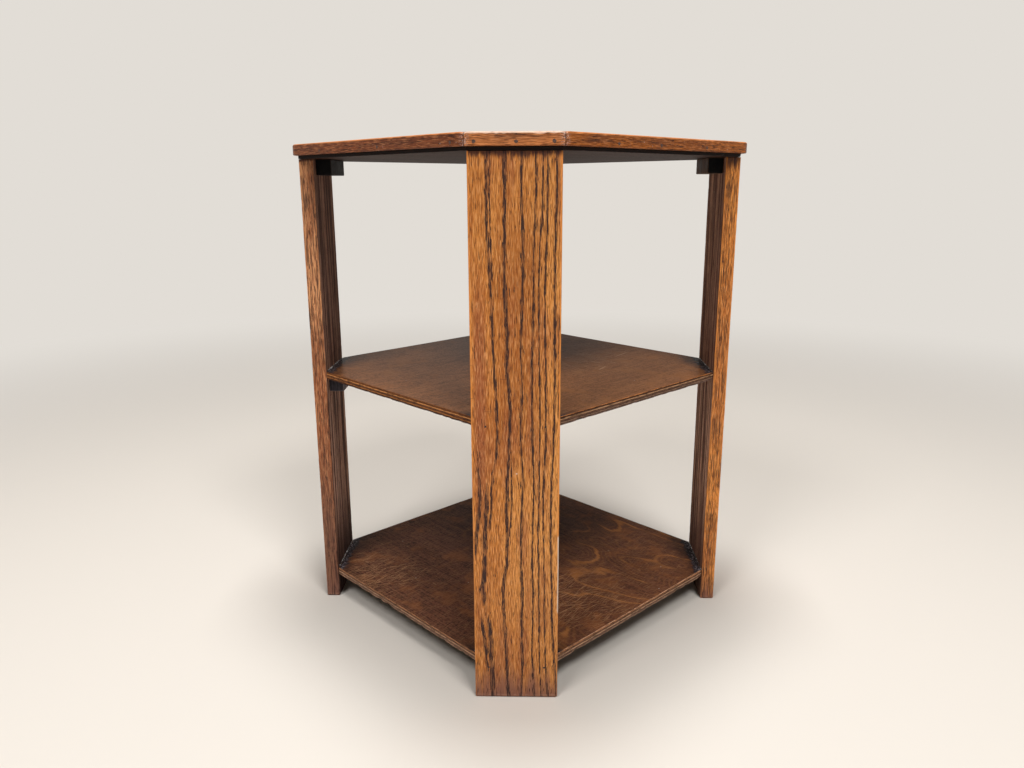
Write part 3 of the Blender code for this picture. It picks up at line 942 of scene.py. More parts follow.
# %% [markdown]
# The shelves and the top are plywood, peeled from the log in one long turn, so the growth rings show as
# loose contour lines, like a map of hills. Lines at even levels of a slow noise give such contours. Stain
# has gone in unevenly along the grain, and fine streaks and grit show the peeled wood's fibres. Things
# pushed about have left thin scores, mostly one way, which are long thin noise at three slants. On the edge
# of a sheet the layers show, with a line of glue at each joint, which is broken by streaks.

# %% Plywood groups
SCORE_SLANTS = (-14, 4, 31)
CLOSE_LINES, CLOSE_STRENGTH = 5.0, 0.20


def contours(tree, hills, fray, bands, narrow, wide):
    """Lines at even levels of the hills, bands of them from 0 to 1, with edges that the fibres fray."""
    away = distance(tree, maths(tree, "FRACT", times(tree, hills, bands)), 0.5)
    return fade(tree, times_plus(tree, fray, 0.30, away), wide, narrow)


def make_peeled_figure():
    """Node group: bold contours in some places and close faint ones all over, the tone of fibres, grit,
    ripples and clouds, and the scores."""
    tree, given, gives = new_group("peeled_figure", ["Board", "Bands"],
                                   ["Tone", "Figure", "Scores", "Height"])
    board, bands = given["Board"], given["Bands"]
    hills = jitter(tree, board, (60, 60, 26), 0.030, noise(tree, board, (9.0, 9.0, 4.6), 2.0, 0.40), 3.0)
    fibres = noise(tree, board, (800, 800, 26), 3.0, 0.6)
    fray = minus(tree, fibres, 0.5)
    shown = fade(tree, noise(tree, board, (14, 14, 9), 3.0), 0.44, 0.60)
    bold = times(tree, contours(tree, hills, fray, bands, 0.02, 0.12), shown)
    close = contours(tree, hills, fray, times(tree, bands, CLOSE_LINES), 0.02, 0.30)
    figure = larger(tree, bold, times(tree, close, CLOSE_STRENGTH))
    scores = 0.0
    for degrees in SCORE_SLANTS:
        rubs = noise(tree, slanted(tree, board, degrees), (40, 1100, 1100), 2.0, 0.5)
        scores = larger(tree, scores, fade(tree, rubs, 0.60, 0.66))
    grit = noise(tree, board, (640, 640, 360), 2.0, 0.8)
    ripples = noise(tree, board, (380, 380, 20), 2.0)
    cloud = noise(tree, board, (17, 17, 8), 4.0, 0.6)
    tone = weighted(tree, (fibres, 0.36), (grit, 0.42), (ripples, 0.12), (cloud, 0.10))
    give(tree, gives, Tone=tone, Figure=figure, Scores=scores, Height=fibres)
    return tree


def make_ply_layers():
    """Node group: glue where the share of the thickness times the number of layers is almost whole."""
    tree, given, gives = new_group("ply_layers", ["Board", "Ply", "Layers"], ["Glue", "Streaks", "Height"])
    level = maths(tree, "FRACT", times(tree, given["Ply"], given["Layers"]))
    glue = fade(tree, distance(tree, level, 0.5), 0.33, 0.42)
    streaks = noise(tree, given["Board"], (150, 150, 1400), 3.0, 0.65)
    broken = times(tree, glue, fade(tree, streaks, 0.3, 0.6, 0.6, 1.0))
    give(tree, gives, Glue=broken, Streaks=streaks, Height=minus(tree, streaks, glue))
    return tree


peeled_figure, ply_layers = make_peeled_figure(), make_ply_layers()
print("peeled_figure and ply_layers ready")

# %% [markdown]
# Walnut stain makes the sheets dark and warm. It has gone almost black in a smear along each leg, where
# nobody could wipe it, and it is rubbed thin in a few patches. A painted shadow darkens the middle of
# each shelf, where the sheet above would shade it. The scores show in one or two places on each sheet,
# and two things were dragged over the middle shelf. Each is a mask by distance: from the legs' inner
# faces, from a spot, or from the middle of a long thin ellipse.

# %% Plywood face
smear_black, smear_brown, smear_pale = paint(40, 34, 37), paint(56, 36, 28), paint(132, 122, 126)
score_tan, speck_tan, glue_dark = paint(176, 128, 90), paint(196, 180, 164), paint(38, 24, 19)
PAINTED_SHADOW_MIDDLE = (-0.05, 0.05)
Stain = namedtuple("Stain", "dark light figure rubbed arris")
# layers, splinters of the lowest one, the board's axes, where its figure starts, stain, the layers' colours
# and those on the faded side, how close and how bright the figure's lines are, brightness of the arrises,
# the varnish, whether stain pooled along the legs and a painted shadow darkens the middle, where the
# scores show, and drag marks
Sheet = namedtuple("Sheet", "layers chips grain start stain plies faded bands gold rub coat coat_rough "
                            "smeared scuffs drags")


def along_legs(tree, plain):
    """Distance in from the legs' inner faces: those lie at a fixed sum of the sizes of x and y."""
    x, y, _ = split(tree, plain)
    reach = maths(tree, "ADD", maths(tree, "ABSOLUTE", x), maths(tree, "ABSOLUTE", y))
    return times_plus(tree, reach, -math.sqrt(0.5), leg_face)


def away_from(tree, plain, spot):
    """Distance from a spot as seen from above, with a cloudy edge."""
    x, y, _ = split(tree, plain)
    x, y = minus(tree, x, spot[0]), minus(tree, y, spot[1])
    square = times_plus(tree, x, x, times(tree, y, y))
    return jitter(tree, plain, (14, 14, 14), 0.10, maths(tree, "SQRT", square))


def scratch(tree, plain, middle, degrees, length, width):
    """A long thin ellipse that lies on a sheet, 1 in its middle and 0 from its rim out."""
    made = tree.nodes.new("ShaderNodeMapping")
    made.vector_type = "TEXTURE"
    made.inputs["Location"].default_value = middle
    made.inputs["Rotation"].default_value = (0.0, 0.0, math.radians(degrees))
    made.inputs["Scale"].default_value = (length / 2, width / 2, 1.0)
    feed(tree, made.inputs["Vector"], plain)
    return fade(tree, vector_length(tree, made.outputs[0]), 1.0, 0.4)


def leg_smears(tree, plain, inward, colour):
    """Stain that pooled along the legs: a wide brown shade, then a lumpy black smear with pale crumbs."""
    brown = fade(tree, jitter(tree, plain, (60, 60, 60), 0.050, inward), 0.034, 0.006, 0.0, 0.60)
    colour = mix(tree, brown, colour, smear_brown)
    black = fade(tree, jitter(tree, plain, (130, 130, 130), 0.020, inward, 3.0), 0.013, 0.008, 0.0, 0.95)
    colour = mix(tree, black, colour, smear_black)
    crumbs = fade(tree, noise(tree, plain, (330, 330, 330), 3.0, 0.6), 0.50, 0.62)
    return tint(tree, colour, smear_pale, crumbs, fade(tree, inward, 0.012, 0.004, 0.0, 0.85))


def stained_face(tree, plain, inward, wood, right, sheet):
    """Colour of a sheet's upper face: stain, rubbed patches, figure, scores, a painted shadow in the middle,
    smears, drags, specks. The figure and the rubbed patches grow stronger towards the right, where that
    mask is 1."""
    stain = sheet.stain
    colour = ramp(tree, wood["Tone"], [(0.42, stain.dark), (0.58, stain.light)])
    worn = fade(tree, noise(tree, plain, (24, 24, 24), 5.0, 0.65), 0.50, 0.64, 0.0, 0.60)
    colour = mix(tree, times_plus(tree, right, 0.20, worn), colour, stain.rubbed)
    colour = tint(tree, colour, stain.figure, times(tree, wood["Figure"], right), sheet.gold)
    scuffed = 0.0
    for spot in sheet.scuffs:
        scuffed = larger(tree, scuffed, fade(tree, away_from(tree, plain, spot), 0.10, 0.02, 0.22, 0.80))
    colour = tint(tree, colour, score_tan, wood["Scores"], scuffed)
    if sheet.smeared:
        # painted shadow: darker round the middle, where the sheet above would shade it
        shade = fade(tree, away_from(tree, plain, PAINTED_SHADOW_MIDDLE), 0.15, 0.05, 0.0, 0.50)
        colour = leg_smears(tree, plain, inward, mix(tree, shade, colour, stain.dark))
    for drag in sheet.drags:
        colour = tint(tree, colour, score_tan, scratch(tree, plain, *drag), 0.9)
    spots = place_group(tree, knocks, Board=plain)
    colour = tint(tree, colour, speck_tan, spots["Specks"], 0.6)
    return tint(tree, colour, score_tan, spots["Scratches"], 0.4)


print("the legs' inner faces lie", round(leg_face, 4), "m from the table's axis")

# %% [markdown]
# The mesh says where a sheet's edge, underside and arrises are, so one material can hold them all. The edge
# shows the layers, each with its own brown, and dark glue between. On one side the layers have faded, and
# the arris above them is rubbed bright. The undersides are bare and dark, without varnish.

# %% Plywood finish
BARE_DARK, BARE_LIGHT = paint(40, 25, 20), paint(77, 52, 41)
PLY_RELIEF, SIDE_RUB = 0.00020, 0.65


def layered(tree, plies):
    """One colour per layer from the bottom up, with hard steps."""
    stops = [(k / len(plies), colour) for k, colour in enumerate(plies)]
    return ramp(tree, mark(tree, "ply"), stops, "CONSTANT")


def ply_edge(tree, plain, sheet, side):
    """Colour and height of the edge: the layers' browns, with faded ones on one side, streaks and glue."""
    ply = place_group(tree, ply_layers, Board=plain, Ply=mark(tree, "ply"), Layers=sheet.layers)
    rim = mix(tree, side, layered(tree, sheet.plies), layered(tree, sheet.faded))
    rim = mix(tree, fade(tree, ply["Streaks"], 0.42, 0.62, 0.0, 0.70), rim, glue_dark)
    return mix(tree, ply["Glue"], rim, glue_dark), ply["Height"]


def plywood_finish(node, sheet):
    """Walnut-stained plywood for one sheet: its face, its bare underside, its edge and its worn arrises."""
    material, tree, shader = new_finish("stained_plywood_" + node)
    board = board_vector(tree, *sheet.grain, sheet.start)
    wood = place_group(tree, peeled_figure, Board=board, Bands=sheet.bands)
    plain = own_place(tree)
    x, y, _ = split(tree, plain)
    inward = along_legs(tree, plain)
    right = fade(tree, maths(tree, "ADD", x, y), -0.12, 0.06, 0.25, 1.0)
    under, edge = mark(tree, "under"), mark(tree, "edge")
    bare = ramp(tree, wood["Tone"], [(0.36, BARE_DARK), (0.64, BARE_LIGHT)])
    colour = mix(tree, under, stained_face(tree, plain, inward, wood, right, sheet), bare)
    half = turned_box(node, 0)[1][0]
    side = fade(tree, x, half - 0.004, half - 0.002)
    rim, rim_height = ply_edge(tree, plain, sheet, side)
    colour = mix(tree, edge, colour, rim)
    wear = times(tree, worn_arris(tree, plain), times_plus(tree, side, SIDE_RUB, sheet.rub))
    colour = tint(tree, colour, sheet.stain.arris, wear, fade(tree, inward, 0.001, 0.004))
    height = times_plus(tree, edge, rim_height, times(tree, wood["Height"], 0.25))
    surface(tree, shader, colour, fade(tree, wood["Tone"], 0.3, 0.7, 0.70, 0.52), height, PLY_RELIEF)
    kept = times(tree, times_plus(tree, right, -0.6, 1.0), minus(tree, 1.0, larger(tree, under, edge)))
    varnish(tree, shader, times(tree, kept, sheet.coat), sheet.coat_rough)
    return material


print("plywood: bump", PLY_RELIEF, "m")

# %% [markdown]
# A sheet is its own outline, carried round its section: out from the middle of the underside, up the edge
# layer by layer, and in again over the top. The layers stand a hair proud of the glue lines. The lowest
# layer has splintered in places, which is the outline drawn in by bumps that fade from layer to layer.

# %% Sheets
SHEET_ARRIS, SHEET_SEED = 0.0006, 61
FACE_INSETS = np.array([0.190, 0.150, 0.110, 0.070, 0.040, 0.020, 0.010, 0.005, 0.0026, 0.0014])
RIM_STEP = 0.0022
GROOVE = 0.00012
CHIP_DEPTH, CHIP_LIMIT, CHIP_WIDTHS, CHIP_RISE = 0.0018, 0.0022, (0.002, 0.006), 0.22
TOP_RUB, TOP_RUB_LENGTH = 0.0005, 0.03
FRAY, FRAY_LENGTH = 0.00006, 0.004
UPPER_WEAR, LOWER_WEAR, LOWER_SHARE = 0.0009, 0.0008, 0.6


def cut_square(half, cut_plane):
    """Counterclockwise outline of a square with cut corners: even steps along each side and each cut."""
    reach = cut_plane * math.sqrt(2) - half
    side = np.linspace(-reach, reach, int(2 * reach / RIM_STEP), endpoint=False)
    cut = np.linspace(0, 1, int((half - reach) * math.sqrt(2) / RIM_STEP), endpoint=False)
    side = np.stack([np.full(len(side), half), side], 1)
    cut = np.stack([half + (reach - half) * cut, reach + (half - reach) * cut], 1)
    quarter = np.concatenate([side, cut])
    return np.concatenate([quarter @ turn(90 * k)[:2, :2].T for k in range(4)])


def sheet_rings(node, layers, chips, seed):
    """The outline shrunk by an inset per row and point: face rows, two quarter-round arrises, and three rows
    per layer on the edge. Marks say where the edge is, how far up its layers, and how near an arris."""
    low, high = turned_box(node, 0)
    half, thick = high[0], high[2] - low[2]
    outline = cut_square(half, turned_box(node, 45)[1][0])
    places = np.arange(len(outline)) * RIM_STEP
    sweep = np.linspace(0, math.pi / 2, 5)
    arris_inset, arris_rise = SHEET_ARRIS * (1 - np.sin(sweep)), SHEET_ARRIS * (1 - np.cos(sweep))
    levels = np.linspace(0, 1, layers * 3 + 1)[1:-1] * (thick - 2 * SHEET_ARRIS) + SHEET_ARRIS
    groove = np.where(np.arange(1, layers * 3) % 3 == 0, GROOVE, 0.0)
    inset = np.concatenate([FACE_INSETS, arris_inset, groove, arris_inset[::-1], FACE_INSETS[::-1]])
    face = FACE_INSETS * 0
    rise = np.concatenate([face, arris_rise, levels, thick - arris_rise[::-1], face + thick])
    rim = np.concatenate([face, np.ones(len(sweep) * 2 + len(levels)), face])
    low_down = np.exp(-rise / (thick * CHIP_RISE))[:, None]
    broken = CHIP_DEPTH * bumps(places, chips, CHIP_WIDTHS, seed) * low_down
    rubbed = TOP_RUB * (1 + wander(places, TOP_RUB_LENGTH, seed + 1))
    rubbed = rubbed * np.exp(-(thick - rise) / TOP_RUB)[:, None]
    fray = FRAY * np.stack([wander(places, FRAY_LENGTH, seed * 100 + k) for k in range(len(rise))])
    drawn = inset[:, None] + rim[:, None] * (np.clip(broken, 0, CHIP_LIMIT) + rubbed + np.abs(fray))
    ring = outline[None] * (1 - drawn / half)[..., None]
    height = np.broadcast_to((low[2] + rise)[:, None], drawn.shape)
    inner = inset * (rim < 0.5)
    near_top = np.exp(-np.hypot(thick - rise, inner) / UPPER_WEAR)
    near_low = np.exp(-np.hypot(rise, inner) / LOWER_WEAR) * LOWER_SHARE
    under = ((rise <= 0) & (rim < 0.5)).astype(float)
    marks = {"edge": rim, "ply": rise / thick, "arris": np.maximum(near_top, near_low), "under": under}
    marks = {label: values[:, None] for label, values in marks.items()}
    return np.concatenate([ring, height[..., None]], -1), marks


shelf_half, shelf_cut = (turned_box("middle_shelf", angle)[1][0] for angle in (0, 45))
print("a shelf's outline has", len(cut_square(shelf_half, shelf_cut)), "points")

# %% [markdown]
# The two shelves and the top differ in their number of layers, the run of their grain, their stain and their
# wear, so each is a row of values. The bottom shelf is the darkest and has the boldest figure.

# %% Make the shelves and the top
WALNUT = Stain(*paints((90, 53, 30), (155, 97, 52), (178, 120, 66), (150, 92, 44), (230, 146, 78)))
DARK_WALNUT = Stain(*paints((44, 26, 22), (109, 66, 48), (184, 118, 62), (130, 78, 46), (244, 188, 150)))
WORN_WALNUT = Stain(*paints((86, 50, 32), (128, 80, 50), (148, 98, 60), (122, 76, 46), (230, 146, 78)))
ORANGE_PLIES = paints((88, 56, 38), (168, 108, 62), (116, 72, 46), (208, 140, 82), (120, 72, 42))
TAN_PLIES = paints((184, 144, 118), (134, 102, 84), (204, 158, 124), (128, 92, 72), (168, 116, 82))
GREY_PLIES = paints((124, 98, 86), (146, 114, 94), (110, 78, 62), (186, 142, 106), (86, 54, 38))
# The top's edge below the lipping is near black: a dark stain, with painted shade over it.
SHADED_BLACK_PLIES = paints((26, 23, 23), (56, 50, 49), (26, 23, 23))
ALONG_Y = ((1, 0, 0), (0, 0, -1), (0, 1, 0))
ALONG_X = ((0, 1, 0), (0, 0, 1), (1, 0, 0))
# middle, direction, length and width of each mark
DRAGS = [((0.055, 0.152, upper_bay), 100, 0.054, 0.0034), ((0.0925, 0.065, upper_bay), 108, 0.034, 0.0042)]
SHEETS = {
    "middle_shelf": Sheet(5, 70, ALONG_Y, (0.9, 0.2, 0.0), WALNUT, ORANGE_PLIES, GREY_PLIES, bands=10.0,
                          gold=0.20, rub=0.35, coat=0.20, coat_rough=0.24, smeared=True,
                          scuffs=[(0.03, 0.08)], drags=DRAGS),
    "bottom_shelf": Sheet(5, 40, ALONG_X, (2.3, 0.7, 0.0), DARK_WALNUT, TAN_PLIES, TAN_PLIES, bands=11.0,
                          gold=0.70, rub=0.12, coat=0.035, coat_rough=0.35, smeared=True,
                          scuffs=[(-0.10, -0.19), (0.15, -0.03)], drags=[]),
    "top_panel": Sheet(9, 8, ALONG_Y, (4.1, 1.6, 0.0), WORN_WALNUT, SHADED_BLACK_PLIES, SHADED_BLACK_PLIES, bands=10.0,
                       gold=0.30, rub=0.20, coat=0.30, coat_rough=0.28, smeared=False,
                       scuffs=[(0.08, -0.04)], drags=[]),
}
for number, (node, sheet) in enumerate(SHEETS.items()):
    points, marks = sheet_rings(node, sheet.layers, sheet.chips, SHEET_SEED + number)
    piece = ring_skin("plywood_" + node, points[None], marks)
    fit_piece(piece, plywood_finish(node, sheet), "stained_plywood", node)

# %% [markdown]
# Square blocks are glued into the angle between each leg and the top, and one more props the middle shelf at
# the left leg. They were sawn from softwood and brushed with the same dark stain until they were nearly
# black, and no one has touched them since, so they keep their saw marks. Their ends are darker still, from
# the stain that the end grain drank and from painted shade. The one on the right is a lighter brown, which
# is painted light, and the one under the shelf is greyer.

# %% Blocks
BLOCK_ARRIS, BLOCK_DENTS, BLOCK_SEED = 0.0009, 4, 81
BLOCK_STEP, BLOCK_FACE_STEP, BLOCK_RELIEF = 0.003, 0.006, 0.00030


def block_finish(name, dark, light, rubbed, end_dark, end_light):
    """Dark stain over saw marks, which are fine noise that is long up and down. The ends drank more, and are
    painted darker still as shade.
    """
    material, tree, shader = new_finish(name)
    plain = own_place(tree)
    saw = noise(tree, plain, (700, 700, 30), 2.0, 0.6)
    cloud = noise(tree, plain, (60, 60, 60), 3.0, 0.6)
    shade = weighted(tree, (cloud, 0.4), (saw, 0.6))
    colour = ramp(tree, shade, [(0.38, dark), (0.62, light)])
    ends = ramp(tree, shade, [(0.38, end_dark), (0.62, end_light)])
    colour = mix(tree, mark(tree, "end"), colour, ends)
    colour = tint(tree, colour, rubbed, worn_arris(tree, plain), 0.35)
    surface(tree, shader, colour, fade(tree, cloud, 0.3, 0.7, 0.5, 0.72), saw, BLOCK_RELIEF)
    shader.inputs["Specular IOR Level"].default_value = BARE_SHINE
    return material


def block_rings(node, angle, seed):
    """Rounded squares carried across the corner, drawn in by a quarter circle at both ends."""
    low, high = turned_box(node, angle)
    middle, half = (low + high) / 2, (high - low) / 2
    places, inset = stations(low[1], high[1], BLOCK_ARRIS, BLOCK_ARRIS, BLOCK_STEP)
    rounding = worn_rounding(places, BLOCK_ARRIS, BLOCK_DENTS, seed)
    outline, arris = rounded_rings(half[2] - inset, half[0] - inset, rounding, BLOCK_FACE_STEP)
    z, x = middle[2] + outline[..., 0], middle[0] + outline[..., 1]
    points = np.stack([x, np.broadcast_to(places[:, None], x.shape), z], -1)
    end = (inset / BLOCK_ARRIS)[:, None]
    worn = np.where(end < 1, np.maximum(arris, inset[:, None] > 0), 0.0)
    return points @ turn(angle).T, {"arris": worn, "end": end}


# dark and light ground, rubbed arris, dark and light end; near-black ends are partly painted shade, and
# the lit brown set is a lighter copy that paints light onto the right block
BLACK_WOOD = paints((14, 12, 12), (46, 38, 36), (70, 60, 56), (5, 5, 5), (13, 12, 12))
LIT_BROWN_WOOD = paints((44, 33, 28), (112, 86, 70), (132, 108, 88), (5, 5, 5), (13, 12, 12))
GREY_WOOD = paints((56, 50, 54), (158, 144, 148), (168, 156, 154), (32, 29, 33), (80, 75, 82))
black_softwood = block_finish("black_softwood", *BLACK_WOOD)
other_softwood = {"top_block_right": block_finish("lit_brown_softwood", *LIT_BROWN_WOOD),
                  "middle_block_left": block_finish("grey_softwood", *GREY_WOOD)}
for number, node in enumerate(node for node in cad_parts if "_block_" in node):
    points, marks = block_rings(node, CORNER_ANGLE[node.split("_")[-1]], BLOCK_SEED + number)
    piece = ring_skin("softwood_" + node, points[None], marks)
    fit_piece(piece, other_softwood.get(node, black_softwood), "block_softwood", node)

# %% [markdown]
# Pins were driven through the legs and punched under, and the holes filled with dark wax. Each spot is a
# small turned disc: rings of shrinking radius that rise to a low crown, all of one kind in one mesh.

# %% Wax over the leg pins
DISC_POINTS, DISC_UNEVEN = 14, 0.22
DISC_SHARES = np.array([1.0, 1.0, 0.85, 0.45])[None, :, None]
DISC_LIFTS = np.array([-0.4, 0.1, 0.8, 1.0])[None, :, None]
SMALL_RELIEF = 0.00015


def discs(angle, middles, radius, crown, seed):
    """Discs that face out at an angle: rings of uneven radius, lifted from inside the wood to the crown."""
    middles = np.array(middles)
    around = np.linspace(0, 2 * math.pi, DISC_POINTS, endpoint=False)
    rng = np.random.default_rng(seed)
    shares = DISC_SHARES * (1 + DISC_UNEVEN * rng.uniform(-1, 1, (len(middles), 1, DISC_POINTS)))
    x = middles[:, 0, None, None] + DISC_LIFTS * crown + shares * 0
    y = middles[:, 1, None, None] + radius * shares * np.cos(around)
    z = middles[:, 2, None, None] + radius * shares * np.sin(around)
    return np.stack([x, y, z], -1) @ turn(angle).T


def small_finish(name, dark, light, cells, rough_low, rough_high, metal, spread=(0.35, 0.65)):
    """Mottled finish for wax, polish or steel: two colours and two roughnesses mixed by noise."""
    material, tree, shader = new_finish(name)
    mottle = noise(tree, own_place(tree), (cells, cells, cells), 3.0, 0.6)
    colour = ramp(tree, mottle, [(spread[0], dark), (spread[1], light)])
    surface(tree, shader, colour, fade(tree, mottle, 0.3, 0.7, rough_low, rough_high), mottle, SMALL_RELIEF)
    shader.inputs["Metallic"].default_value = metal
    return material


WAX_RADIUS, WAX_CROWN, WAX_SEED = 0.0012, 0.00012, 120
wax_spots = []
for corner, angle in CORNER_ANGLE.items():
    face = turned_box("leg_" + corner, angle)[1][0]
    for level in ("middle", "bottom"):
        boxes = [turned_box(f"{level}_pin_{corner}_{k}", angle) for k in (1, 2)]
        middles = [(face, *((low + high) / 2)[1:]) for low, high in boxes]
        wax_spots.append(discs(angle, middles, WAX_RADIUS, WAX_CROWN, WAX_SEED + len(wax_spots)))
stopping_wax = small_finish("stopping_wax", *paints((28, 20, 18), (58, 40, 34)), 900, 0.45, 0.7, 0.0)
fit_piece(ring_skin("leg_pin_stopping", np.concatenate(wax_spots), {}), stopping_wax, "pin_steel")

# %% [markdown]
# The lipping's pins are finer and were only set flush, so each glints a little in a dark stain. Two discs
# make one: a wide dark rim, and a small steel head that sits a little off its middle, as a driven pin does.

# %% Lipping pins
# places along a strip, in metres from its middle
CUT_STRIP_PINS = (-0.0385, 0.0015, 0.0375)
SIDE_STRIP_PINS = {"front_left": (-0.098, 0.020, 0.142)}
USUAL_SIDE_PINS = (-0.083, -0.012, 0.074)
PIN_RISE = 0.30
RIM_RADIUS, RIM_CROWN, RIM_SEED = 0.0019, 0.00005, 140
HEAD_RADIUS, HEAD_CROWN, HEAD_SEED = 0.0006, 0.00012, 161
HEAD_OFFSET = np.array([0.0, 0.0005, 0.0004])
rims, heads = [], []
for number, (name, angle) in enumerate(STRIP_ANGLE.items()):
    low, high = turned_box("lipping_" + name, angle)
    places = CUT_STRIP_PINS if name in CORNER_ANGLE else SIDE_STRIP_PINS.get(name, USUAL_SIDE_PINS)
    rise = low[2] + PIN_RISE * (high[2] - low[2])
    middles = np.array([(high[0], place, rise) for place in places])
    rims.append(discs(angle, middles, RIM_RADIUS, RIM_CROWN, RIM_SEED + number))
    heads.append(discs(angle, middles + HEAD_OFFSET, HEAD_RADIUS, HEAD_CROWN, HEAD_SEED + number))
pin_stain = small_finish("pin_stain", *paints((44, 28, 24), (98, 66, 52)), 900, 0.5, 0.7, 0.0)
pin_steel = small_finish("dark_pin_steel", *paints((52, 44, 40), (118, 104, 96)), 1500, 0.3, 0.5, 0.8)
fit_piece(ring_skin("lipping_pin_rims", np.concatenate(rims), {}), pin_stain, "pin_steel")
fit_piece(ring_skin("lipping_pin_heads", np.concatenate(heads), {}), pin_steel, "pin_steel")

# %% [markdown]
# Polish and dirt have gathered where the shelves meet the legs, in a thin uneven bead. Its pale flecks are
# partly crumbs of polish and partly painted glints along the joint. It is a circle of changing radius
# carried along the joint, half sunk into both woods.

# %% Beads of old polish
BEAD_RADIUS, BEAD_FLAT, BEAD_SINK = 0.0011, 0.7, 0.0001
BEAD_MARGIN, BEAD_TAPER, BEAD_WAVES = 0.002, 0.004, (0.006, 0.0025)
BEAD_PLACES, BEAD_POINTS, BEAD_SEED = 120, 10, 200


def bead_rings(node, angle, seed):
    """Circles along the joint, a little flattened; two random curves swell and thin their radius."""
    top, half = turned_box(node, angle)[1][2], leg_high[1] - BEAD_MARGIN
    places = np.linspace(-half, half, BEAD_PLACES)
    slow, quick = (wander(places, wave, seed + k) for k, wave in enumerate(BEAD_WAVES))
    radius = BEAD_RADIUS * (0.8 + 0.35 * slow + 0.2 * quick)
    radius = radius * np.clip(np.minimum(places + half, half - places) / BEAD_TAPER, 0.15, 1)
    around = np.linspace(0, 2 * math.pi, BEAD_POINTS, endpoint=False)
    z = top + radius[:, None] * np.cos(around) * BEAD_FLAT
    x = leg_face - BEAD_SINK + radius[:, None] * np.sin(around)
    return np.stack([x, np.broadcast_to(places[:, None], x.shape), z], -1) @ turn(angle).T


old_polish_and_glints = small_finish("old_polish_and_glints", *paints((22, 19, 21), (214, 210, 210)), 260, 0.35, 0.7, 0.0,
                          spread=(0.50, 0.60))
for node in ("middle_shelf", "bottom_shelf"):
    beads = [bead_rings(node, angle, BEAD_SEED + 3 * k) for k, angle in enumerate(CORNER_ANGLE.values())]
    fit_piece(ring_skin("polish_bead_" + node, np.stack(beads), {}), old_polish_and_glints, "stained_plywood")

# %% [markdown]
# The steel pins and the screws under the top keep their own solids, which already have the right shape. They
# only need a dull, mottled steel.

# %% Steel nodes
screw_steel = small_finish("dull_screw_steel", *paints((96, 92, 88), (160, 154, 146)), 800, 0.3, 0.5, 0.9)
steel_nodes = [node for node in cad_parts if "_pin_" in node or "_screw_" in node]
for node in steel_nodes:
    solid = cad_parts[node]
    solid.data.materials.clear()
    solid.data.materials.append(pin_steel if "_pin_" in node else screw_steel)
print("steel on", len(steel_nodes), "nodes")

# %% [markdown]
# The table stands in a wide pale bowl: a flat floor that curves up into a wall all round, so that no horizon
# shows from any side. It is one profile turned about Z. Near the table it is plain paint that takes the
# shadow. Further out the camera sees an even pale colour instead, so the background stays clean without more
# light on the table.

# %% Floor
FLOOR_RADIUS, WALL_RADIUS, WALL_HEIGHT = 3.2, 1.6, 1.5
FLOOR_START, FLOOR_STEPS, WALL_STEPS, BOWL_POINTS = 0.02, 12, 13, 96
FLOOR_COLOUR, BACKDROP_COLOUR = paint(216, 209, 200), paint(226, 221, 214)
FLOOR_ROUGHNESS, FLOOR_SHINE = 0.8, 0.2
FADE_START, FADE_END = 0.7, 2.6


def bowl_rings():
    """Profile from the middle out: a flat run, a quarter circle, a straight wall; turned in even steps."""
    flat = np.linspace(FLOOR_START, FLOOR_RADIUS, FLOOR_STEPS)
    sweep = np.linspace(0, math.pi / 2, WALL_STEPS)[1:]
    wall = FLOOR_RADIUS + WALL_RADIUS
    radius = np.concatenate([flat, FLOOR_RADIUS + WALL_RADIUS * np.sin(sweep), [wall]])
    height = np.concatenate([flat * 0, WALL_RADIUS * (1 - np.cos(sweep)), [WALL_RADIUS + WALL_HEIGHT]])
    around = np.linspace(0, 2 * math.pi, BOWL_POINTS, endpoint=False)
    x, y = radius[:, None] * np.cos(around), radius[:, None] * np.sin(around)
    return np.stack([x, y, np.broadcast_to(height[:, None], x.shape)], -1)


def floor_finish():
    """Plain paint that fades, with the distance from the table, into an even glow for what looks at it."""
    material, tree, shader = new_finish("pale_floor")
    shader.inputs["Base Color"].default_value = FLOOR_COLOUR
    shader.inputs["Roughness"].default_value = FLOOR_ROUGHNESS
    shader.inputs["Specular IOR Level"].default_value = FLOOR_SHINE
    path = tree.nodes.new("ShaderNodeLightPath").outputs
    seen = larger(tree, path["Is Camera Ray"], path["Is Glossy Ray"])
    seen = larger(tree, seen, path["Is Transmission Ray"])
    far = fade(tree, vector_length(tree, own_place(tree)), FADE_START, FADE_END)
    glow = tree.nodes.new("ShaderNodeEmission")
    glow.inputs["Color"].default_value = BACKDROP_COLOUR
    blend = tree.nodes.new("ShaderNodeMixShader")
    for socket, value in zip(blend.inputs, (times(tree, seen, far), shader.outputs[0], glow.outputs[0])):
        feed(tree, socket, value)
    feed(tree, tree.nodes["Material Output"].inputs["Surface"], blend.outputs[0])
    return material


rings = bowl_rings()
here, beside, quads = ring_faces(*rings.shape[:2])
middle = np.stack([np.full(BOWL_POINTS, here.size), here[0], beside[0]], -1)
points = np.concatenate([rings.reshape(-1, 3), [[0.0, 0.0, 0.0]]])
floor = new_object("studio_floor", points, quads[:, ::-1].tolist() + middle.tolist())
floor.data.materials.append(floor_finish())
floor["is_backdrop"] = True
print("floor radius", FLOOR_RADIUS, "m")

# %% [markdown]
# Three soft lamps of about the same strength hang high up: one on the right of the camera, like a window, a
# fill on its left, and one straight above, like a bright ceiling. So the bays under the top and under the
# shelves go dark by themselves. The world is an even pale grey that keeps the shadows open.

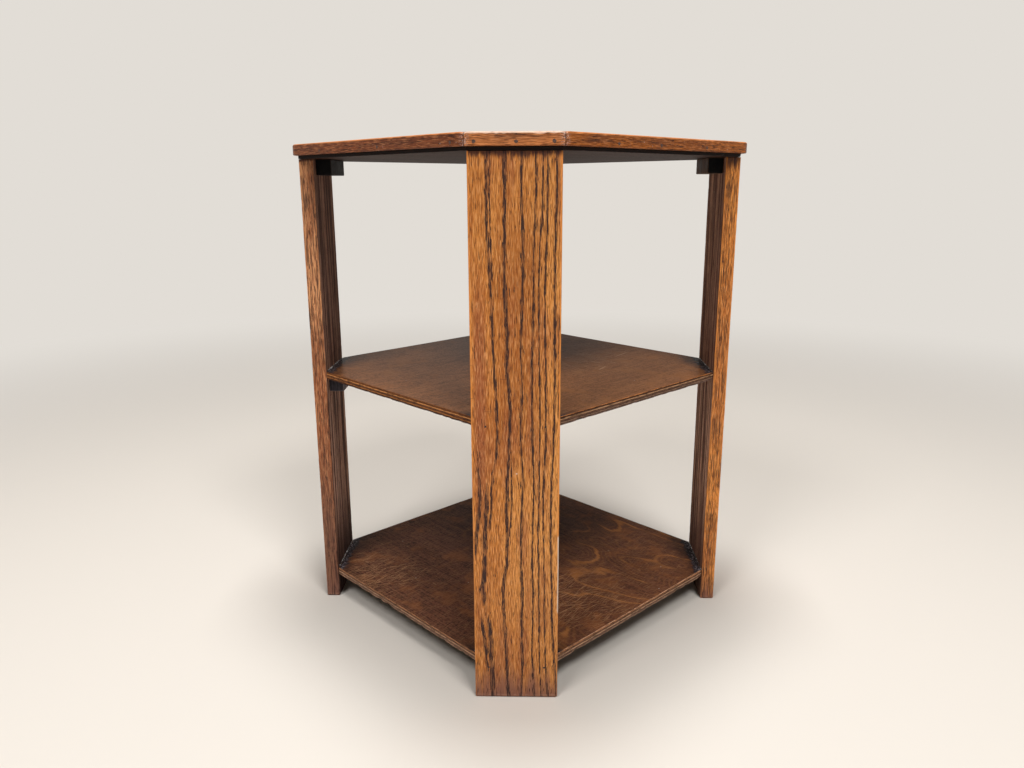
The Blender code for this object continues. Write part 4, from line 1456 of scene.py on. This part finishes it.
# %% Lamps and world
AIM = (0.0, 0.0, 0.3)
WORLD_COLOUR, WORLD_STRENGTH = (1.0, 0.97, 0.93, 1.0), 0.097


def lamp(name, place, size, power):
    """A square lamp that looks from its place to the middle of the table."""
    light = bpy.data.lights.new(name, "AREA")
    light.energy, light.size = power, size
    made = bpy.data.objects.new(name, light)
    made.location = place
    made.rotation_euler = (Vector(AIM) - Vector(place)).to_track_quat("-Z", "Y").to_euler()
    bpy.context.scene.collection.objects.link(made)


lamp("window", (1.9, -0.7, 3.0), 0.9, 60)
lamp("fill", (0.5, -2.2, 3.0), 1.0, 48.5)
lamp("ceiling", (-0.1, 0.1, 3.0), 0.6, 53.3)
world = bpy.data.worlds.new("pale_room")
bpy.context.scene.world = world
world.use_nodes = True
background = world.node_tree.nodes["Background"].inputs
background["Color"].default_value = WORLD_COLOUR
background["Strength"].default_value = WORLD_STRENGTH
bpy.context.scene.view_settings.view_transform = "Standard"
print("three lamps and a world")

# %% [markdown]
# The camera's place, direction and lens were found by fitting the model's corners to the same corners in the
# picture. It stands a little below the table's top, so the top shows edge on.

# %% Camera
CAMERA_PLACE = (0.7551, -0.7333, 0.5616)
CAMERA_HEADING = math.radians(136.38)
CAMERA_PITCH = math.radians(-14.12)
CAMERA_ROLL = math.radians(-0.234)
LENS, SENSOR_WIDTH, CLIP_START = 27.88, 36.0, 0.02
lens = bpy.data.cameras.new("camera")
lens.lens, lens.sensor_width, lens.clip_start = LENS, SENSOR_WIDTH, CLIP_START
camera = bpy.data.objects.new("camera", lens)
level_turn = Matrix.Rotation(CAMERA_HEADING - math.pi / 2, 4, "Z")
tilt = Matrix.Rotation(math.pi / 2 + CAMERA_PITCH, 4, "X")
roll = Matrix.Rotation(CAMERA_ROLL, 4, "Z")
camera.matrix_world = Matrix.Translation(CAMERA_PLACE) @ level_turn @ tilt @ roll
bpy.context.scene.collection.objects.link(camera)
bpy.context.scene.camera = camera
print("camera at", CAMERA_PLACE)

# %% [markdown]
# Last come the two boxes, of the solid model and of the dressed one, so that they can be compared.

# %% Sizes and finish
low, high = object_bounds()
boxes = {"cad": [list(cad_low), list(cad_high)], "visual": [list(low), list(high)]}
print("visual box", tuple(low), tuple(high))
